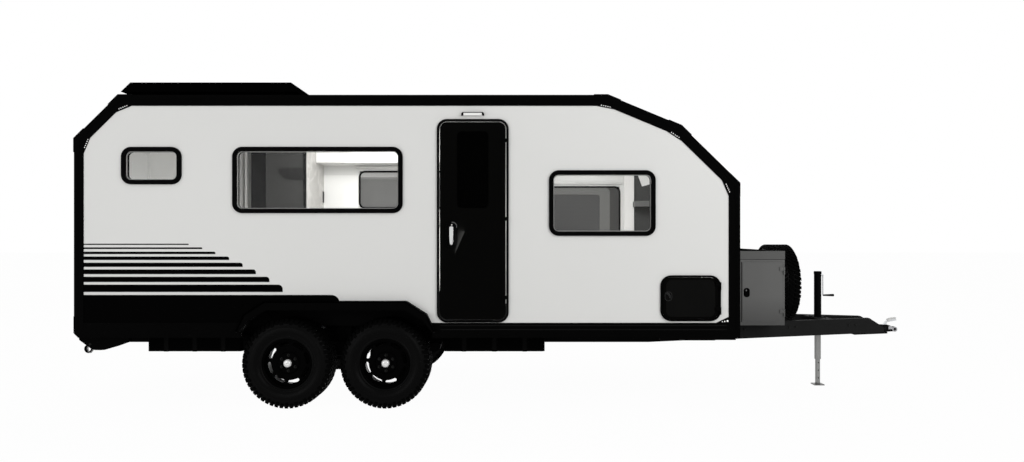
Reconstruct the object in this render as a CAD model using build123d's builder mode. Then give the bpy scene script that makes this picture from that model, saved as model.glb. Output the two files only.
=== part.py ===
"""Off-road touring caravan on four independent trailing arms.

X runs forward, the way it is towed, Y to its left and Z up. The origin lies on the ground
under the middle of the overall length. Every size is in millimetres.
"""

import os
from math import atan2, cos, hypot, sin

from build123d import *

os.makedirs("parts", exist_ok=True)

# ---------------------------------------------------------------- driving dimensions
# Body shell, in side view
body_length = 5952
body_front_x = 2019
half_width = 1130
skirt_z = 637
floor_z = 705
roof_z = 2808
rear_slope_run, rear_slope_drop = 393, 388
front_slope_run, nose_drop = 1182, 786
front_bend_run, front_bend_drop = 525, 273
wall = 35
floor_board = 40

# Black frame that caps the edges of each side
edge_band, edge_rear_band = 98, 85
edge_sill = 134
edge_gusset = 82
edge_proud = 6
foot_gusset_run, foot_gusset_rise = 112, 53
guard_low_z, guard_high_z, guard_width, guard_proud = 680, 828, 60, 4
edge_front_band, corner_cut = 103, 54
lip_rear_x, lip_front_x, lip_z = 1300, 1978, 618

# Windows and doors, seen from the side
frame_proud = 18
window_band, window_radius = 40, 88
door_band, door_radius = 22, 90
hatch_band, hatch_radius = 16, 95
frame_lap = 12
sleeve = 4
fit = 1
pane = 6
leaf_gap = 5
leaf_depth = 34
leaf_proud = 4

# Wheels and axles
axle_front_x = body_front_x - 3176
axle_spacing = 880
tyre_radius = 402
tyre_width = 268
tyre_face_y = 1140
rim_radius = 203
rim_flange = 17
rim_sheet = 8
hub_bore = 55
axle_radius = 34
slot_ring, slot_length, slot_width, slot_count = 172, 106, 32, 8
stud_ring, stud_radius, stud_count = 139.7, 7, 6

# Chassis
rail_width, rail_height, rail_sheet = 50, 176, 4
drawbar_height = 154
rail_y = 600
rail_front_x = body_front_x - 89
drawbar_tip_x = 3815
drawbar_apex_x = 3985

# Front box, spare wheel and jack
box_depth, box_half_width = 530, 760
box_high_z = 1405
box_sheet = 3
spare_x, spare_z = 2722, 1056
jack_x = 3161
jack_tube_radius, jack_tube_wall = 36, 4
jack_top_z = 1179
jack_leg_fit = 0.3
jack_stroke = 330

# Roof deck
deck_rear_gap, deck_axle_gap = 348, 820
deck_half_width, deck_height, deck_gap, deck_sheet = 1000, 100, 53, 8
deck_taper, deck_rear_taper = 78, 49

# ---------------------------------------------------------------- body outline
body_rear_x = body_front_x - body_length
inner_half = half_width - wall
floor_top_z = floor_z + floor_board

outline = [
    (body_rear_x, skirt_z),
    (body_rear_x, roof_z - rear_slope_drop),
    (body_rear_x + rear_slope_run, roof_z),
    (body_front_x - front_slope_run, roof_z),
    (body_front_x - front_bend_run, roof_z - front_bend_drop),
    (body_front_x, roof_z - nose_drop),
    (body_front_x, skirt_z),
]


def inset(points, depth):
    """Copy an open run of points, moved to its right-hand side by depth and mitred."""
    normals = []
    for (x0, z0), (x1, z1) in zip(points, points[1:]):
        length = hypot(x1 - x0, z1 - z0)
        normals.append(((z1 - z0) / length, (x0 - x1) / length))
    moved = []
    for i, (x, z) in enumerate(points):
        before, after = normals[max(i - 1, 0)], normals[min(i, len(normals) - 1)]
        mitre = depth / (1 + before[0] * after[0] + before[1] * after[1])
        moved.append((x + (before[0] + after[0]) * mitre, z + (before[1] + after[1]) * mitre))
    return moved


def side_plane(side, reach, depth):
    """Plane whose extrusion by depth lies between reach - depth and reach on one side."""
    return Plane.XZ.offset(reach - depth) if side == "right" else Plane.XZ.offset(-reach)


toward = {"right": -1, "left": 1}


def save(part, name):
    part.label = name
    export_step(part, f"parts/{name}.step")


# ---------------------------------------------------------------- openings in the sides
door_x, door_z, door_width, door_height = axle_front_x + 787, 1683, 641, 1815
hatch_x, hatch_z, hatch_width, hatch_height = body_front_x - 444, 991, 538, 409

# The big window fills the wall between the rear window and the door
rear_window_x, rear_window_width = body_rear_x + 693, 536
front_window_x = body_front_x - 1233
kitchen_window_x = axle_front_x - 123
big_window_rear_gap, big_window_door_gap = 456, 305.5
big_window_rear_x = rear_window_x + rear_window_width / 2 + big_window_rear_gap
big_window_front_x = door_x - door_width / 2 - big_window_door_gap
big_window_x = (big_window_rear_x + big_window_front_x) / 2
big_window_width = big_window_front_x - big_window_rear_x

# side, centre x, centre z, width, height
windows = [
    ("right", rear_window_x, 2175, rear_window_width, 334),
    ("right", big_window_x, 2047, big_window_width, 592),
    ("right", front_window_x, 1841, 952, 586),
    ("left", rear_window_x, 2175, rear_window_width, 334),
    ("left", kitchen_window_x, 2090, 1100, 450),
    ("left", front_window_x, 1841, 952, 586),
]

# Wheel opening, side view: half lengths at the foot and at the top, and its height
axle_x = [axle_front_x, axle_front_x - axle_spacing]
arch_lead = 11
arch_x = sum(axle_x) / 2 + arch_lead
arch_foot, arch_heel, arch_shoulder, arch_top = 858, 852, 780, 618
arch_heel_z, arch_shoulder_z, arch_z = 697, 794, 889
flare_band, flare_top_band, flare_proud = 31, 79, 72


def arch_crown(grow_side, grow_top):
    """Heel, shoulder and top of the wheel opening, grown, as half lengths with heights."""
    return [
        (arch_heel + grow_side, arch_heel_z),
        (arch_shoulder + grow_side, arch_shoulder_z + grow_top * 0.73),
        (arch_top + grow_side * 0.3, arch_z + grow_top),
    ]


def arch_run(half):
    """Side view of half a wheel opening and its mirror image, from the rear to the front."""
    rear = [(arch_x - run, z) for run, z in half]
    front = [(arch_x + run, z) for run, z in reversed(half)]
    return rear + front


arch_opening = arch_run([(arch_foot, skirt_z), *arch_crown(0, 0)])
flare_inner = arch_run(arch_crown(0, 0))
flare_outer = arch_run(arch_crown(flare_band, flare_top_band))
flare_seat = arch_run(
    [(arch_foot, skirt_z), (arch_heel, arch_heel_z), *arch_crown(flare_band, flare_top_band)]
)


def cut_size(width, height, radius):
    """Size of the hole in the wall behind a frame's flange."""
    return width - 2 * frame_lap, height - 2 * frame_lap, radius - frame_lap


def surround(side, x, z, width, height, radius, band, proud):
    """Rounded frame: a flange on the skin and a sleeve through the wall."""
    hole_width, hole_height, hole_radius = cut_size(width, height, radius)
    with BuildPart() as frame:
        with BuildSketch(side_plane(side, half_width + proud, proud)):
            with Locations((x, z)):
                RectangleRounded(width, height, radius)
                RectangleRounded(
                    width - 2 * band, height - 2 * band, radius - band, mode=Mode.SUBTRACT
                )
        extrude(amount=proud)
        with BuildSketch(side_plane(side, half_width, wall)):
            with Locations((x, z)):
                RectangleRounded(hole_width - 2 * fit, hole_height - 2 * fit, hole_radius - fit)
                RectangleRounded(
                    hole_width - 2 * (fit + sleeve),
                    hole_height - 2 * (fit + sleeve),
                    hole_radius - fit - sleeve,
                    mode=Mode.SUBTRACT,
                )
        extrude(amount=wall)
    return frame.part


# ---------------------------------------------------------------- side walls
def side_wall(side):
    """One side panel with its windows, doors and wheel opening cut out."""
    with BuildPart() as panel:
        with BuildSketch(side_plane(side, half_width, wall)):
            with BuildLine():
                Polyline(*outline, close=True)
            make_face()
            with Locations((body_rear_x, skirt_z)):
                Rectangle(corner_cut, corner_cut, rotation=45, mode=Mode.SUBTRACT)
            with BuildLine():
                Polyline(*arch_opening, close=True)
            make_face(mode=Mode.SUBTRACT)
            for where, x, z, width, height in windows:
                if where == side:
                    with Locations((x, z)):
                        RectangleRounded(
                            *cut_size(width, height, window_radius), mode=Mode.SUBTRACT
                        )
            if side == "right":
                with Locations((door_x, door_z)):
                    RectangleRounded(
                        *cut_size(door_width, door_height, door_radius), mode=Mode.SUBTRACT
                    )
                with Locations((hatch_x, hatch_z)):
                    RectangleRounded(
                        *cut_size(hatch_width, hatch_height, hatch_radius), mode=Mode.SUBTRACT
                    )
        extrude(amount=wall)
    return panel.part


for side in ("right", "left"):
    save(side_wall(side), f"side_wall_{side}")

# ---------------------------------------------------------------- roof, ends and floor
shell = [(x, max(z, floor_z)) for x, z in outline]
shell_inner = inset(shell, wall)

# The panel of each run of the outline, from the rear skirt over the roof to the front
panel_of_run = ["rear_wall", "rear_slope", "roof_panel", "front_slope", "front_slope", "front_wall"]
for name in dict.fromkeys(panel_of_run):
    ends = [i for i, run in enumerate(panel_of_run) if run == name]
    ends.append(max(ends) + 1)
    with BuildPart() as panel:
        with BuildSketch(Plane.XZ.offset(-inner_half)):
            with BuildLine():
                Polyline(
                    *[shell[i] for i in ends], *[shell_inner[i] for i in reversed(ends)], close=True
                )
            make_face()
        extrude(amount=2 * inner_half)
    save(panel.part, name)

well_inner_y = 785
well_sheet = 4
well_top_z = 935
well_past_arch = 25
well_rear_x = arch_x - arch_foot - well_past_arch
well_front_x = arch_x + arch_foot + well_past_arch

with BuildPart() as floor_panel:
    with BuildSketch(Plane.XY.offset(floor_z)):
        with Locations(((body_rear_x + body_front_x) / 2, 0)):
            Rectangle(body_length - 2 * wall, 2 * inner_half)
        for sign in (-1, 1):
            with Locations((arch_x, sign * (well_inner_y + inner_half) / 2)):
                Rectangle(well_front_x - well_rear_x, inner_half - well_inner_y, mode=Mode.SUBTRACT)
    extrude(amount=floor_board)
save(floor_panel.part, "floor_panel")

# Pressed boxes over the wheels, open below and towards the wheel opening
with BuildPart() as wheel_boxes:
    for sign in (-1, 1):
        with BuildSketch(Plane.XY.offset(floor_z)):
            with Locations((arch_x, sign * (well_inner_y + inner_half) / 2)):
                Rectangle(well_front_x - well_rear_x, inner_half - well_inner_y)
        extrude(amount=well_top_z - floor_z)
        with BuildSketch(Plane.XY.offset(floor_z)):
            with Locations((arch_x, sign * (well_inner_y + well_sheet + inner_half) / 2)):
                Rectangle(
                    well_front_x - well_rear_x - 2 * well_sheet, inner_half - well_inner_y - well_sheet
                )
        extrude(amount=well_top_z - floor_z - well_sheet, mode=Mode.SUBTRACT)
save(wheel_boxes.part, "wheel_boxes")

# ---------------------------------------------------------------- black edge frames
edge_inner = inset(outline, edge_band)
sill_z = skirt_z + edge_sill
rear_step = edge_band - edge_rear_band
rear_bend_x, rear_bend_z = edge_inner[1]
edge_inner[:2] = [
    (rear_bend_x - rear_step, sill_z),
    (rear_bend_x - rear_step, rear_bend_z - rear_step * rear_slope_drop / rear_slope_run),
]
nose_x, nose_z = edge_inner[-2]
front_step = edge_front_band - edge_band
post_x = nose_x - front_step
nose_slope = (front_bend_drop - nose_drop) / front_bend_run
edge_inner[-2] = (post_x, nose_z - front_step * nose_slope)
edge_inner[-1:] = [(post_x, sill_z + foot_gusset_rise), (post_x - foot_gusset_run, sill_z)]
with BuildPart() as edge_frames:
    for side in ("right", "left"):
        with BuildSketch(side_plane(side, half_width + edge_proud, edge_proud)):
            with BuildLine():
                Polyline(*outline, close=True)
            make_face()
            with Locations((body_rear_x, skirt_z)):
                Rectangle(corner_cut, corner_cut, rotation=45, mode=Mode.SUBTRACT)
            with BuildLine():
                Polyline(*flare_seat, close=True)
            make_face(mode=Mode.SUBTRACT)
        extrude(amount=edge_proud)
        with BuildSketch(side_plane(side, half_width + edge_proud, edge_proud)):
            with BuildLine():
                Polyline(*edge_inner, close=True)
            make_face()
            bends = [bend for bend in vertices() if bend.Y > sill_z + 2 * foot_gusset_rise]
            chamfer(bends, length=edge_gusset)
        extrude(amount=edge_proud, mode=Mode.SUBTRACT)
        with BuildSketch(side_plane(side, half_width + edge_proud, wall)):
            with Locations(((lip_rear_x + lip_front_x) / 2, (lip_z + skirt_z) / 2)):
                Rectangle(lip_front_x - lip_rear_x, skirt_z - lip_z)
        extrude(amount=wall)
        guard_reach = half_width + edge_proud
        with BuildSketch(Plane.XY.offset(guard_low_z)):
            with Locations(
                (body_rear_x - guard_proud / 2, toward[side] * (guard_reach - guard_width / 2))
            ):
                Rectangle(guard_proud, guard_width)
            with Locations((body_rear_x, toward[side] * (guard_reach - edge_proud / 2))):
                Rectangle(2 * guard_proud, edge_proud)
        extrude(amount=guard_high_z - guard_low_z)
save(edge_frames.part, "edge_frames")

# ---------------------------------------------------------------- wheel flares
with BuildPart() as wheel_flares:
    for side in ("right", "left"):
        with BuildSketch(side_plane(side, half_width + flare_proud, flare_proud)):
            with BuildLine():
                Polyline(*flare_outer, *reversed(flare_inner), close=True)
            make_face()
        extrude(amount=flare_proud)
save(wheel_flares.part, "wheel_flares")

# ---------------------------------------------------------------- windows
with BuildPart() as window_frames:
    for side, x, z, width, height in windows:
        add(surround(side, x, z, width, height, window_radius, window_band, frame_proud))
save(window_frames.part, "window_frames")

pane_seat = fit + sleeve + fit
with BuildPart() as window_panes:
    for side, x, z, width, height in windows:
        hole_width, hole_height, hole_radius = cut_size(width, height, window_radius)
        with BuildSketch(side_plane(side, half_width, pane)):
            with Locations((x, z)):
                RectangleRounded(
                    hole_width - 2 * pane_seat, hole_height - 2 * pane_seat, hole_radius - pane_seat
                )
        extrude(amount=pane)
save(window_panes.part, "window_panes")

# Blinds hang behind the left windows and are rolled up over the right ones
blind_case, blind_sheet, blind_lap = 36, 3, 20
with BuildPart() as window_blinds:
    for side, x, z, width, height in windows:
        case_z = z + height / 2 + blind_lap + blind_case / 2
        with BuildSketch(side_plane(side, inner_half, blind_case)):
            with Locations((x, case_z)):
                Rectangle(width + 2 * blind_lap, blind_case)
        extrude(amount=blind_case)
        if side == "left":
            with BuildSketch(side_plane(side, inner_half, blind_sheet)):
                with Locations((x, z)):
                    Rectangle(width + 2 * blind_lap, height + 2 * blind_lap)
            extrude(amount=blind_sheet)
save(window_blinds.part, "window_blinds")

# ---------------------------------------------------------------- hinges
hinge_radius, hinge_pin_radius, hinge_bore, hinge_length = 8, 4, 4.3, 34
hinge_stand = hinge_radius + 1
hinge_plate, hinge_pad, hinge_reach = 8, 24, 30


def fixed_knuckle(side, pin_x, z, face):
    """Lower half of a hinge, with its pin, standing on a face of the side."""
    pin_y = face + hinge_stand
    with BuildPart() as knuckle:
        with BuildSketch(Plane.XY.offset(z - hinge_length)):
            with Locations((pin_x, toward[side] * pin_y)):
                Circle(hinge_radius)
            with Locations((pin_x, toward[side] * (face + pin_y) / 2)):
                Rectangle(hinge_radius, hinge_stand)
        extrude(amount=hinge_length)
        with BuildSketch(Plane.XY.offset(z)):
            with Locations((pin_x, toward[side] * pin_y)):
                Circle(hinge_pin_radius)
        extrude(amount=hinge_length)
    return knuckle.part


def leaf_knuckle(side, pin_x, z, face, leaf_edge_x, leaf_face):
    """Upper half of a hinge, bored for the pin, with the plate that holds the leaf."""
    pin_y = face + hinge_stand
    with BuildPart() as knuckle:
        with BuildSketch(Plane.XY.offset(z + fit / 2)):
            with Locations((pin_x, toward[side] * pin_y)):
                Circle(hinge_radius)
            with Locations(((pin_x + leaf_edge_x - hinge_reach) / 2, toward[side] * pin_y)):
                Rectangle(pin_x - leaf_edge_x + hinge_reach, hinge_plate)
            pad_x = leaf_edge_x - hinge_reach + hinge_pad / 2
            with Locations((pad_x, toward[side] * (leaf_face + pin_y) / 2)):
                Rectangle(hinge_pad, pin_y - leaf_face)
            with Locations((pin_x, toward[side] * pin_y)):
                Circle(hinge_bore, mode=Mode.SUBTRACT)
        extrude(amount=hinge_length - fit)
    return knuckle.part


# ---------------------------------------------------------------- doors in the right side
door_face = half_width + frame_proud
leaf_face = door_face - leaf_proud
glass_rise, glass_width, glass_height, glass_radius = 456, 275, 681, 40
glass_lap = 15

# name, centre x, centre z, width, height, radius, band, hinge heights from the centre
side_doors = [
    ("entry_door", door_x, door_z, door_width, door_height, door_radius, door_band, (-700, 0, 700)),
    ("hatch_door", hatch_x, hatch_z, hatch_width, hatch_height, hatch_radius, hatch_band, (-110, 110)),
]
with BuildPart() as door_frames:
    for name, x, z, width, height, radius, band, hinges in side_doors:
        add(surround("right", x, z, width, height, radius, band, frame_proud))
        for rise in hinges:
            add(fixed_knuckle("right", x + width / 2 - band / 2, z + rise, door_face))
save(door_frames.part, "door_frames")

for name, x, z, width, height, radius, band, hinges in side_doors:
    leaf_inset = band + leaf_gap
    edge_x = x + width / 2 - leaf_inset
    with BuildPart() as leaf:
        with BuildSketch(side_plane("right", leaf_face, leaf_depth)):
            with Locations((x, z)):
                RectangleRounded(
                    width - 2 * leaf_inset, height - 2 * leaf_inset, radius - leaf_inset
                )
            if name == "entry_door":
                with Locations((x, z + glass_rise)):
                    RectangleRounded(
                        glass_width - 2 * glass_lap,
                        glass_height - 2 * glass_lap,
                        glass_radius - glass_lap,
                        mode=Mode.SUBTRACT,
                    )
        extrude(amount=leaf_depth)
        for rise in hinges:
            pin_x = x + width / 2 - band / 2
            add(leaf_knuckle("right", pin_x, z + rise, door_face, edge_x, leaf_face))
    save(leaf.part, name)

with BuildPart() as door_window:
    with BuildSketch(side_plane("right", leaf_face + pane, pane)):
        with Locations((door_x, door_z + glass_rise)):
            RectangleRounded(glass_width, glass_height, glass_radius)
    extrude(amount=pane)
save(door_window.part, "door_window")

handle_x, handle_z = door_x - 188, door_z - 123
plate_width, plate_height, plate_depth = 111, 243, 10
plate_corner, grip_corner = 16, 8
grip_width, grip_height, grip_stand, grip_thick, grip_foot_height = 34, 160, 30, 14, 20
with BuildPart() as door_handle:
    with BuildSketch(side_plane("right", leaf_face + plate_depth, plate_depth)):
        with Locations((handle_x, handle_z)):
            RectangleRounded(plate_width, plate_height, plate_corner)
    extrude(amount=plate_depth)
    grip_foot = leaf_face + plate_depth
    with BuildSketch(side_plane("right", grip_foot + grip_stand, grip_stand)):
        with Locations((handle_x, handle_z)):
            with GridLocations(1, grip_height - grip_foot_height, 1, 2):
                Rectangle(grip_width, grip_foot_height)
    extrude(amount=grip_stand)
    with BuildSketch(side_plane("right", grip_foot + grip_stand + grip_thick, grip_thick)):
        with Locations((handle_x, handle_z)):
            RectangleRounded(grip_width, grip_height, grip_corner)
    extrude(amount=grip_thick)
save(door_handle.part, "door_handle")

lamp_width, lamp_height, lamp_depth, lamp_rise, lamp_corner = 206, 30, 42, 44, 10
with BuildPart() as door_lamp:
    with BuildSketch(side_plane("right", half_width + lamp_depth, lamp_depth)):
        with Locations((door_x, door_z + door_height / 2 + lamp_rise)):
            RectangleRounded(lamp_width, lamp_height, lamp_corner)
    extrude(amount=lamp_depth)
save(door_lamp.part, "door_lamp")

# ---------------------------------------------------------------- chassis
rail_low_z = floor_z - rail_height
rail_rear_x = body_rear_x - 12
cross_from_end, cross_count = 80, 7
rail_section = (rail_width - 2 * rail_sheet, rail_height - 2 * rail_sheet)
# the rails' underside rises towards the drawbar
taper_start_x, taper_end_x, taper_rise = body_front_x - 729, body_front_x - 399, 15

with BuildPart() as chassis_rails:
    for sign in (-1, 1):
        with BuildSketch(Plane.YZ.offset(rail_rear_x)):
            with Locations((sign * rail_y, floor_z - rail_height / 2)):
                Rectangle(rail_width, rail_height)
                Rectangle(*rail_section, mode=Mode.SUBTRACT)
        extrude(amount=rail_front_x - rail_rear_x)
    with BuildSketch(Plane.XZ.offset(-rail_y - rail_width)):
        with BuildLine():
            Polyline(
                (taper_start_x, rail_low_z),
                (taper_end_x, rail_low_z + taper_rise),
                (rail_front_x + 1, rail_low_z + taper_rise),
                (rail_front_x + 1, rail_low_z - 1),
                (taper_start_x, rail_low_z - 1),
                close=True,
            )
        make_face()
    extrude(amount=2 * (rail_y + rail_width), mode=Mode.SUBTRACT)
    for sign in (-1, 1):
        with BuildSketch(Plane.XY.offset(rail_low_z + taper_rise)):
            with Locations(((taper_end_x + rail_front_x) / 2, sign * rail_y)):
                Rectangle(rail_front_x - taper_end_x, rail_width)
        extrude(amount=rail_sheet)
save(chassis_rails.part, "chassis_rails")

cross_width, cross_height = 50, 75
rail_gap = 2 * rail_y - rail_width
cross_pitch = (rail_front_x - rail_rear_x - 2 * cross_from_end) / (cross_count - 1)
with BuildPart() as crossmembers:
    for place in range(cross_count):
        x = rail_rear_x + cross_from_end + place * cross_pitch
        with BuildSketch(Plane.XZ.offset(-rail_gap / 2)):
            with Locations((x, floor_z - cross_height / 2)):
                Rectangle(cross_width, cross_height)
                Rectangle(
                    cross_width - 2 * rail_sheet, cross_height - 2 * rail_sheet, mode=Mode.SUBTRACT
                )
        extrude(amount=rail_gap)
save(crossmembers.part, "crossmembers")

# Drawbar: two rails that close towards the coupling, with beams between them
drawbar_low_z = floor_z - drawbar_height
drawbar_angle = atan2(rail_y, drawbar_apex_x - rail_front_x)
drawbar_run = hypot(rail_y, drawbar_apex_x - rail_front_x)
beam_height = 75
beam_sheet = 5
# centre x, length along x
drawbar_beams = [(2140, 80), (2530, 70), (jack_x, 150)]


def drawbar_y(x):
    """Distance of a drawbar rail's centre line from the middle."""
    return (drawbar_apex_x - x) * sin(drawbar_angle) / cos(drawbar_angle)


bevel_start_x, bevel_end_x, bevel_end_z = 3640, 3770, 630
with BuildPart() as drawbar:
    for sign in (-1, 1):
        rail_direction = Vector(cos(drawbar_angle), -sign * sin(drawbar_angle), 0)
        rail_start = Vector(rail_front_x, sign * rail_y, floor_z - drawbar_height / 2)
        with BuildSketch(
            Plane(origin=rail_start - rail_direction * rail_width, x_dir=(0, 0, 1), z_dir=rail_direction)
        ):
            Rectangle(drawbar_height, rail_width)
            Rectangle(drawbar_height - 2 * rail_sheet, rail_width - 2 * rail_sheet, mode=Mode.SUBTRACT)
        extrude(amount=drawbar_run)
    for x, length in drawbar_beams:
        with BuildSketch(Plane.YZ.offset(x - length / 2)):
            with Locations((0, floor_z - beam_height / 2)):
                Rectangle(2 * drawbar_y(x + length / 2) - rail_width, beam_height)
                Rectangle(
                    2 * drawbar_y(x + length / 2) - rail_width,
                    beam_height - 2 * beam_sheet,
                    mode=Mode.SUBTRACT,
                )
        extrude(amount=length)
    with BuildSketch(Plane.XZ.offset(-rail_y)):
        with BuildLine():
            Polyline(
                (bevel_start_x, floor_z + 1),
                (bevel_end_x, bevel_end_z),
                (drawbar_tip_x, bevel_end_z - 30),
                (drawbar_tip_x, drawbar_low_z - 1),
                (drawbar_apex_x + drawbar_height, drawbar_low_z - 1),
                (drawbar_apex_x + drawbar_height, floor_z + 1),
                close=True,
            )
        make_face()
    extrude(amount=2 * rail_y, mode=Mode.SUBTRACT)
    with BuildSketch(Plane.XY.offset(drawbar_low_z - 1)):
        with Locations((rail_front_x - rail_width * 2, 0)):
            Rectangle(rail_width * 4, 3 * rail_y)
    extrude(amount=drawbar_height + 2, mode=Mode.SUBTRACT)
    with BuildSketch(Plane.XY.offset(drawbar_low_z - 1)):
        with Locations((jack_x, 0)):
            Circle(jack_tube_radius + fit)
    extrude(amount=drawbar_height + 2, mode=Mode.SUBTRACT)
save(drawbar.part, "drawbar")

# ---------------------------------------------------------------- coupling
shank_rear_x, shank_front_x, shank_half = 3640, 3868, 20
shank_top_z = 625
keel_rear_x, keel_plate = 3480, 15
eye_x, eye_z, eye_radius, eye_bore, eye_half = 3949, 579, 26, 12, 30
with BuildPart() as coupling:
    with BuildSketch(Plane.XY.offset(drawbar_low_z - keel_plate)):
        with BuildLine():
            Polyline(
                (keel_rear_x, -drawbar_y(keel_rear_x)),
                (shank_front_x, -40),
                (shank_front_x, 40),
                (keel_rear_x, drawbar_y(keel_rear_x)),
                close=True,
            )
        make_face()
    extrude(amount=keel_plate)
    with BuildSketch(Plane.XZ.offset(-shank_half)):
        with BuildLine():
            Polyline(
                (shank_rear_x, drawbar_low_z),
                (shank_front_x, drawbar_low_z),
                (eye_x, eye_z - eye_radius + 4),
                (eye_x, eye_z + eye_radius - 4),
                (shank_front_x + 10, shank_top_z),
                (shank_rear_x, shank_top_z),
                close=True,
            )
        make_face()
    extrude(amount=2 * shank_half)
    with BuildSketch(Plane.XZ.offset(-eye_half)):
        with Locations((eye_x, eye_z)):
            Circle(eye_radius)
    extrude(amount=2 * eye_half)
    with BuildSketch(Plane.XZ.offset(-eye_half)):
        with Locations((eye_x, eye_z)):
            Circle(eye_bore)
    extrude(amount=2 * eye_half, mode=Mode.SUBTRACT)
save(coupling.part, "coupling")

lever_half = 12
# distance ahead of the shank's front, and above its top
lever_points = [(-30, 0), (0, 0), (12, 26), (110, 44), (100, 64), (12, 50)]
with BuildPart() as coupling_lever:
    with BuildSketch(Plane.XZ.offset(-lever_half)):
        with BuildLine():
            Polyline(*[(shank_front_x + run, shank_top_z + rise) for run, rise in lever_points], close=True)
        make_face()
    extrude(amount=2 * lever_half)
save(coupling_lever.part, "coupling_lever")

# ---------------------------------------------------------------- under the floor
tank_half, tank_height = 880, 51
tank_cheek, tank_cheek_gap = 90, 10
# rear end x, front end x
tanks = [(body_rear_x + 535, axle_front_x - 1363), (axle_front_x + 507, axle_front_x + 1441)]
tank_corner = 30
cheek_inner_y = rail_y + rail_width / 2 + tank_cheek_gap
with BuildPart() as water_tanks:
    for rear_x, front_x in tanks:
        with BuildSketch(Plane.XY.offset(rail_low_z - tank_height)):
            with Locations(((rear_x + front_x) / 2, 0)):
                RectangleRounded(front_x - rear_x, 2 * tank_half, tank_corner)
        extrude(amount=tank_height)
        # cheeks rise outside the rails
        with BuildSketch(Plane.XY.offset(rail_low_z)):
            with Locations(((rear_x + front_x) / 2, 0)):
                RectangleRounded(front_x - rear_x, 2 * tank_half, tank_corner)
                Rectangle(front_x - rear_x, 2 * cheek_inner_y, mode=Mode.SUBTRACT)
        extrude(amount=tank_cheek)
save(water_tanks.part, "water_tanks")

# Lower edge of the rear skirt: distance ahead of the body's end, and height
skirt_thick = 60
skirt_edge = [(15, 661), (25, 612), (140, 527), (165, 522), (215, 521), (255, 524), (352, 552), (470, 594)]
skirt_line = [(body_rear_x + run, z) for run, z in skirt_edge]
skirt_outline = [(skirt_line[0][0], floor_z), *skirt_line, (skirt_line[-1][0], floor_z)]
shackle_x, shackle_z, shackle_radius, shackle_bore, shackle_thick = body_rear_x + 98, 531, 39, 21, 18
with BuildPart() as rear_skirts:
    for side in ("right", "left"):
        with BuildSketch(side_plane(side, inner_half, skirt_thick)):
            with BuildLine():
                Polyline(*skirt_outline, close=True)
            make_face()
        extrude(amount=skirt_thick)
        with BuildSketch(side_plane(side, inner_half - shackle_thick, shackle_thick)):
            with Locations((shackle_x, shackle_z)):
                Circle(shackle_radius)
        extrude(amount=shackle_thick)
        with BuildSketch(side_plane(side, inner_half - shackle_thick, shackle_thick)):
            with Locations((shackle_x, shackle_z)):
                Circle(shackle_bore)
        extrude(amount=shackle_thick, mode=Mode.SUBTRACT)
save(rear_skirts.part, "rear_skirts")

bar_height, bar_depth, bar_half, bar_corner, bar_drop = 100, 40, 880, 12, 75
with BuildPart() as rear_bar:
    with BuildSketch(Plane.YZ.offset(rail_rear_x - bar_depth)):
        with Locations((0, floor_z - bar_drop)):
            RectangleRounded(2 * bar_half, bar_height, bar_corner)
    extrude(amount=bar_depth)
save(rear_bar.part, "rear_bar")

# ---------------------------------------------------------------- suspension
arm_inner_y, arm_outer_y = 690, 750
pivot_ahead, pivot_z, pivot_radius = 420, 500, 40
knuckle_radius, heel_behind, heel_z, heel_radius = 58, 150, 400, 36
spring_radius, spring_waist, spring_y = 56, 44, 715
spring_foot_z = tyre_radius + knuckle_radius
wheel_y = tyre_face_y - tyre_width / 2
stub_end_y = wheel_y + 8
wheel_places = [
    (f"{row}_{side}", side, x) for row, x in zip(("front", "rear"), axle_x) for side in ("right", "left")
]

with BuildPart() as suspension_arms:
    for name, side, x in wheel_places:
        with BuildSketch(side_plane(side, arm_outer_y, arm_outer_y - arm_inner_y)):
            with Locations((x + pivot_ahead, pivot_z)):
                Circle(pivot_radius)
            with Locations((x, tyre_radius)):
                Circle(knuckle_radius)
            with Locations((x - heel_behind, heel_z)):
                Circle(heel_radius)
            make_hull()
        extrude(amount=arm_outer_y - arm_inner_y)
        with BuildSketch(side_plane(side, stub_end_y, stub_end_y - arm_outer_y)):
            with Locations((x, tyre_radius)):
                Circle(axle_radius)
        extrude(amount=stub_end_y - arm_outer_y)
        with BuildSketch(Plane.XY.offset(heel_z)):
            with Locations((x - heel_behind, toward[side] * spring_y)):
                Circle(spring_radius)
        extrude(amount=spring_foot_z - heel_z)
save(suspension_arms.part, "suspension_arms")

hanger_half = 70
hanger_reach = arm_inner_y - rail_y - rail_width / 2
with BuildPart() as suspension_hangers:
    for name, side, x in wheel_places:
        with BuildSketch(side_plane(side, arm_inner_y, hanger_reach)):
            with Locations((x + pivot_ahead, pivot_z)):
                Circle(pivot_radius)
            with Locations((x + pivot_ahead, floor_z - 20)):
                Rectangle(2 * hanger_half, 40)
            make_hull()
        extrude(amount=hanger_reach)
save(suspension_hangers.part, "suspension_hangers")

with BuildPart() as air_springs:
    for name, side, x in wheel_places:
        centre = (x - heel_behind, toward[side] * spring_y)
        lobe = (floor_z - spring_foot_z) / 2
        with BuildSketch(Plane.XY.offset(spring_foot_z)):
            with Locations(centre):
                Circle(spring_waist)
        extrude(amount=2 * lobe)
        for step in (0.15, 1.15):
            with BuildSketch(Plane.XY.offset(spring_foot_z + step * lobe)):
                with Locations(centre):
                    Circle(spring_radius)
            extrude(amount=0.7 * lobe)
save(air_springs.part, "air_springs")

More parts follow.
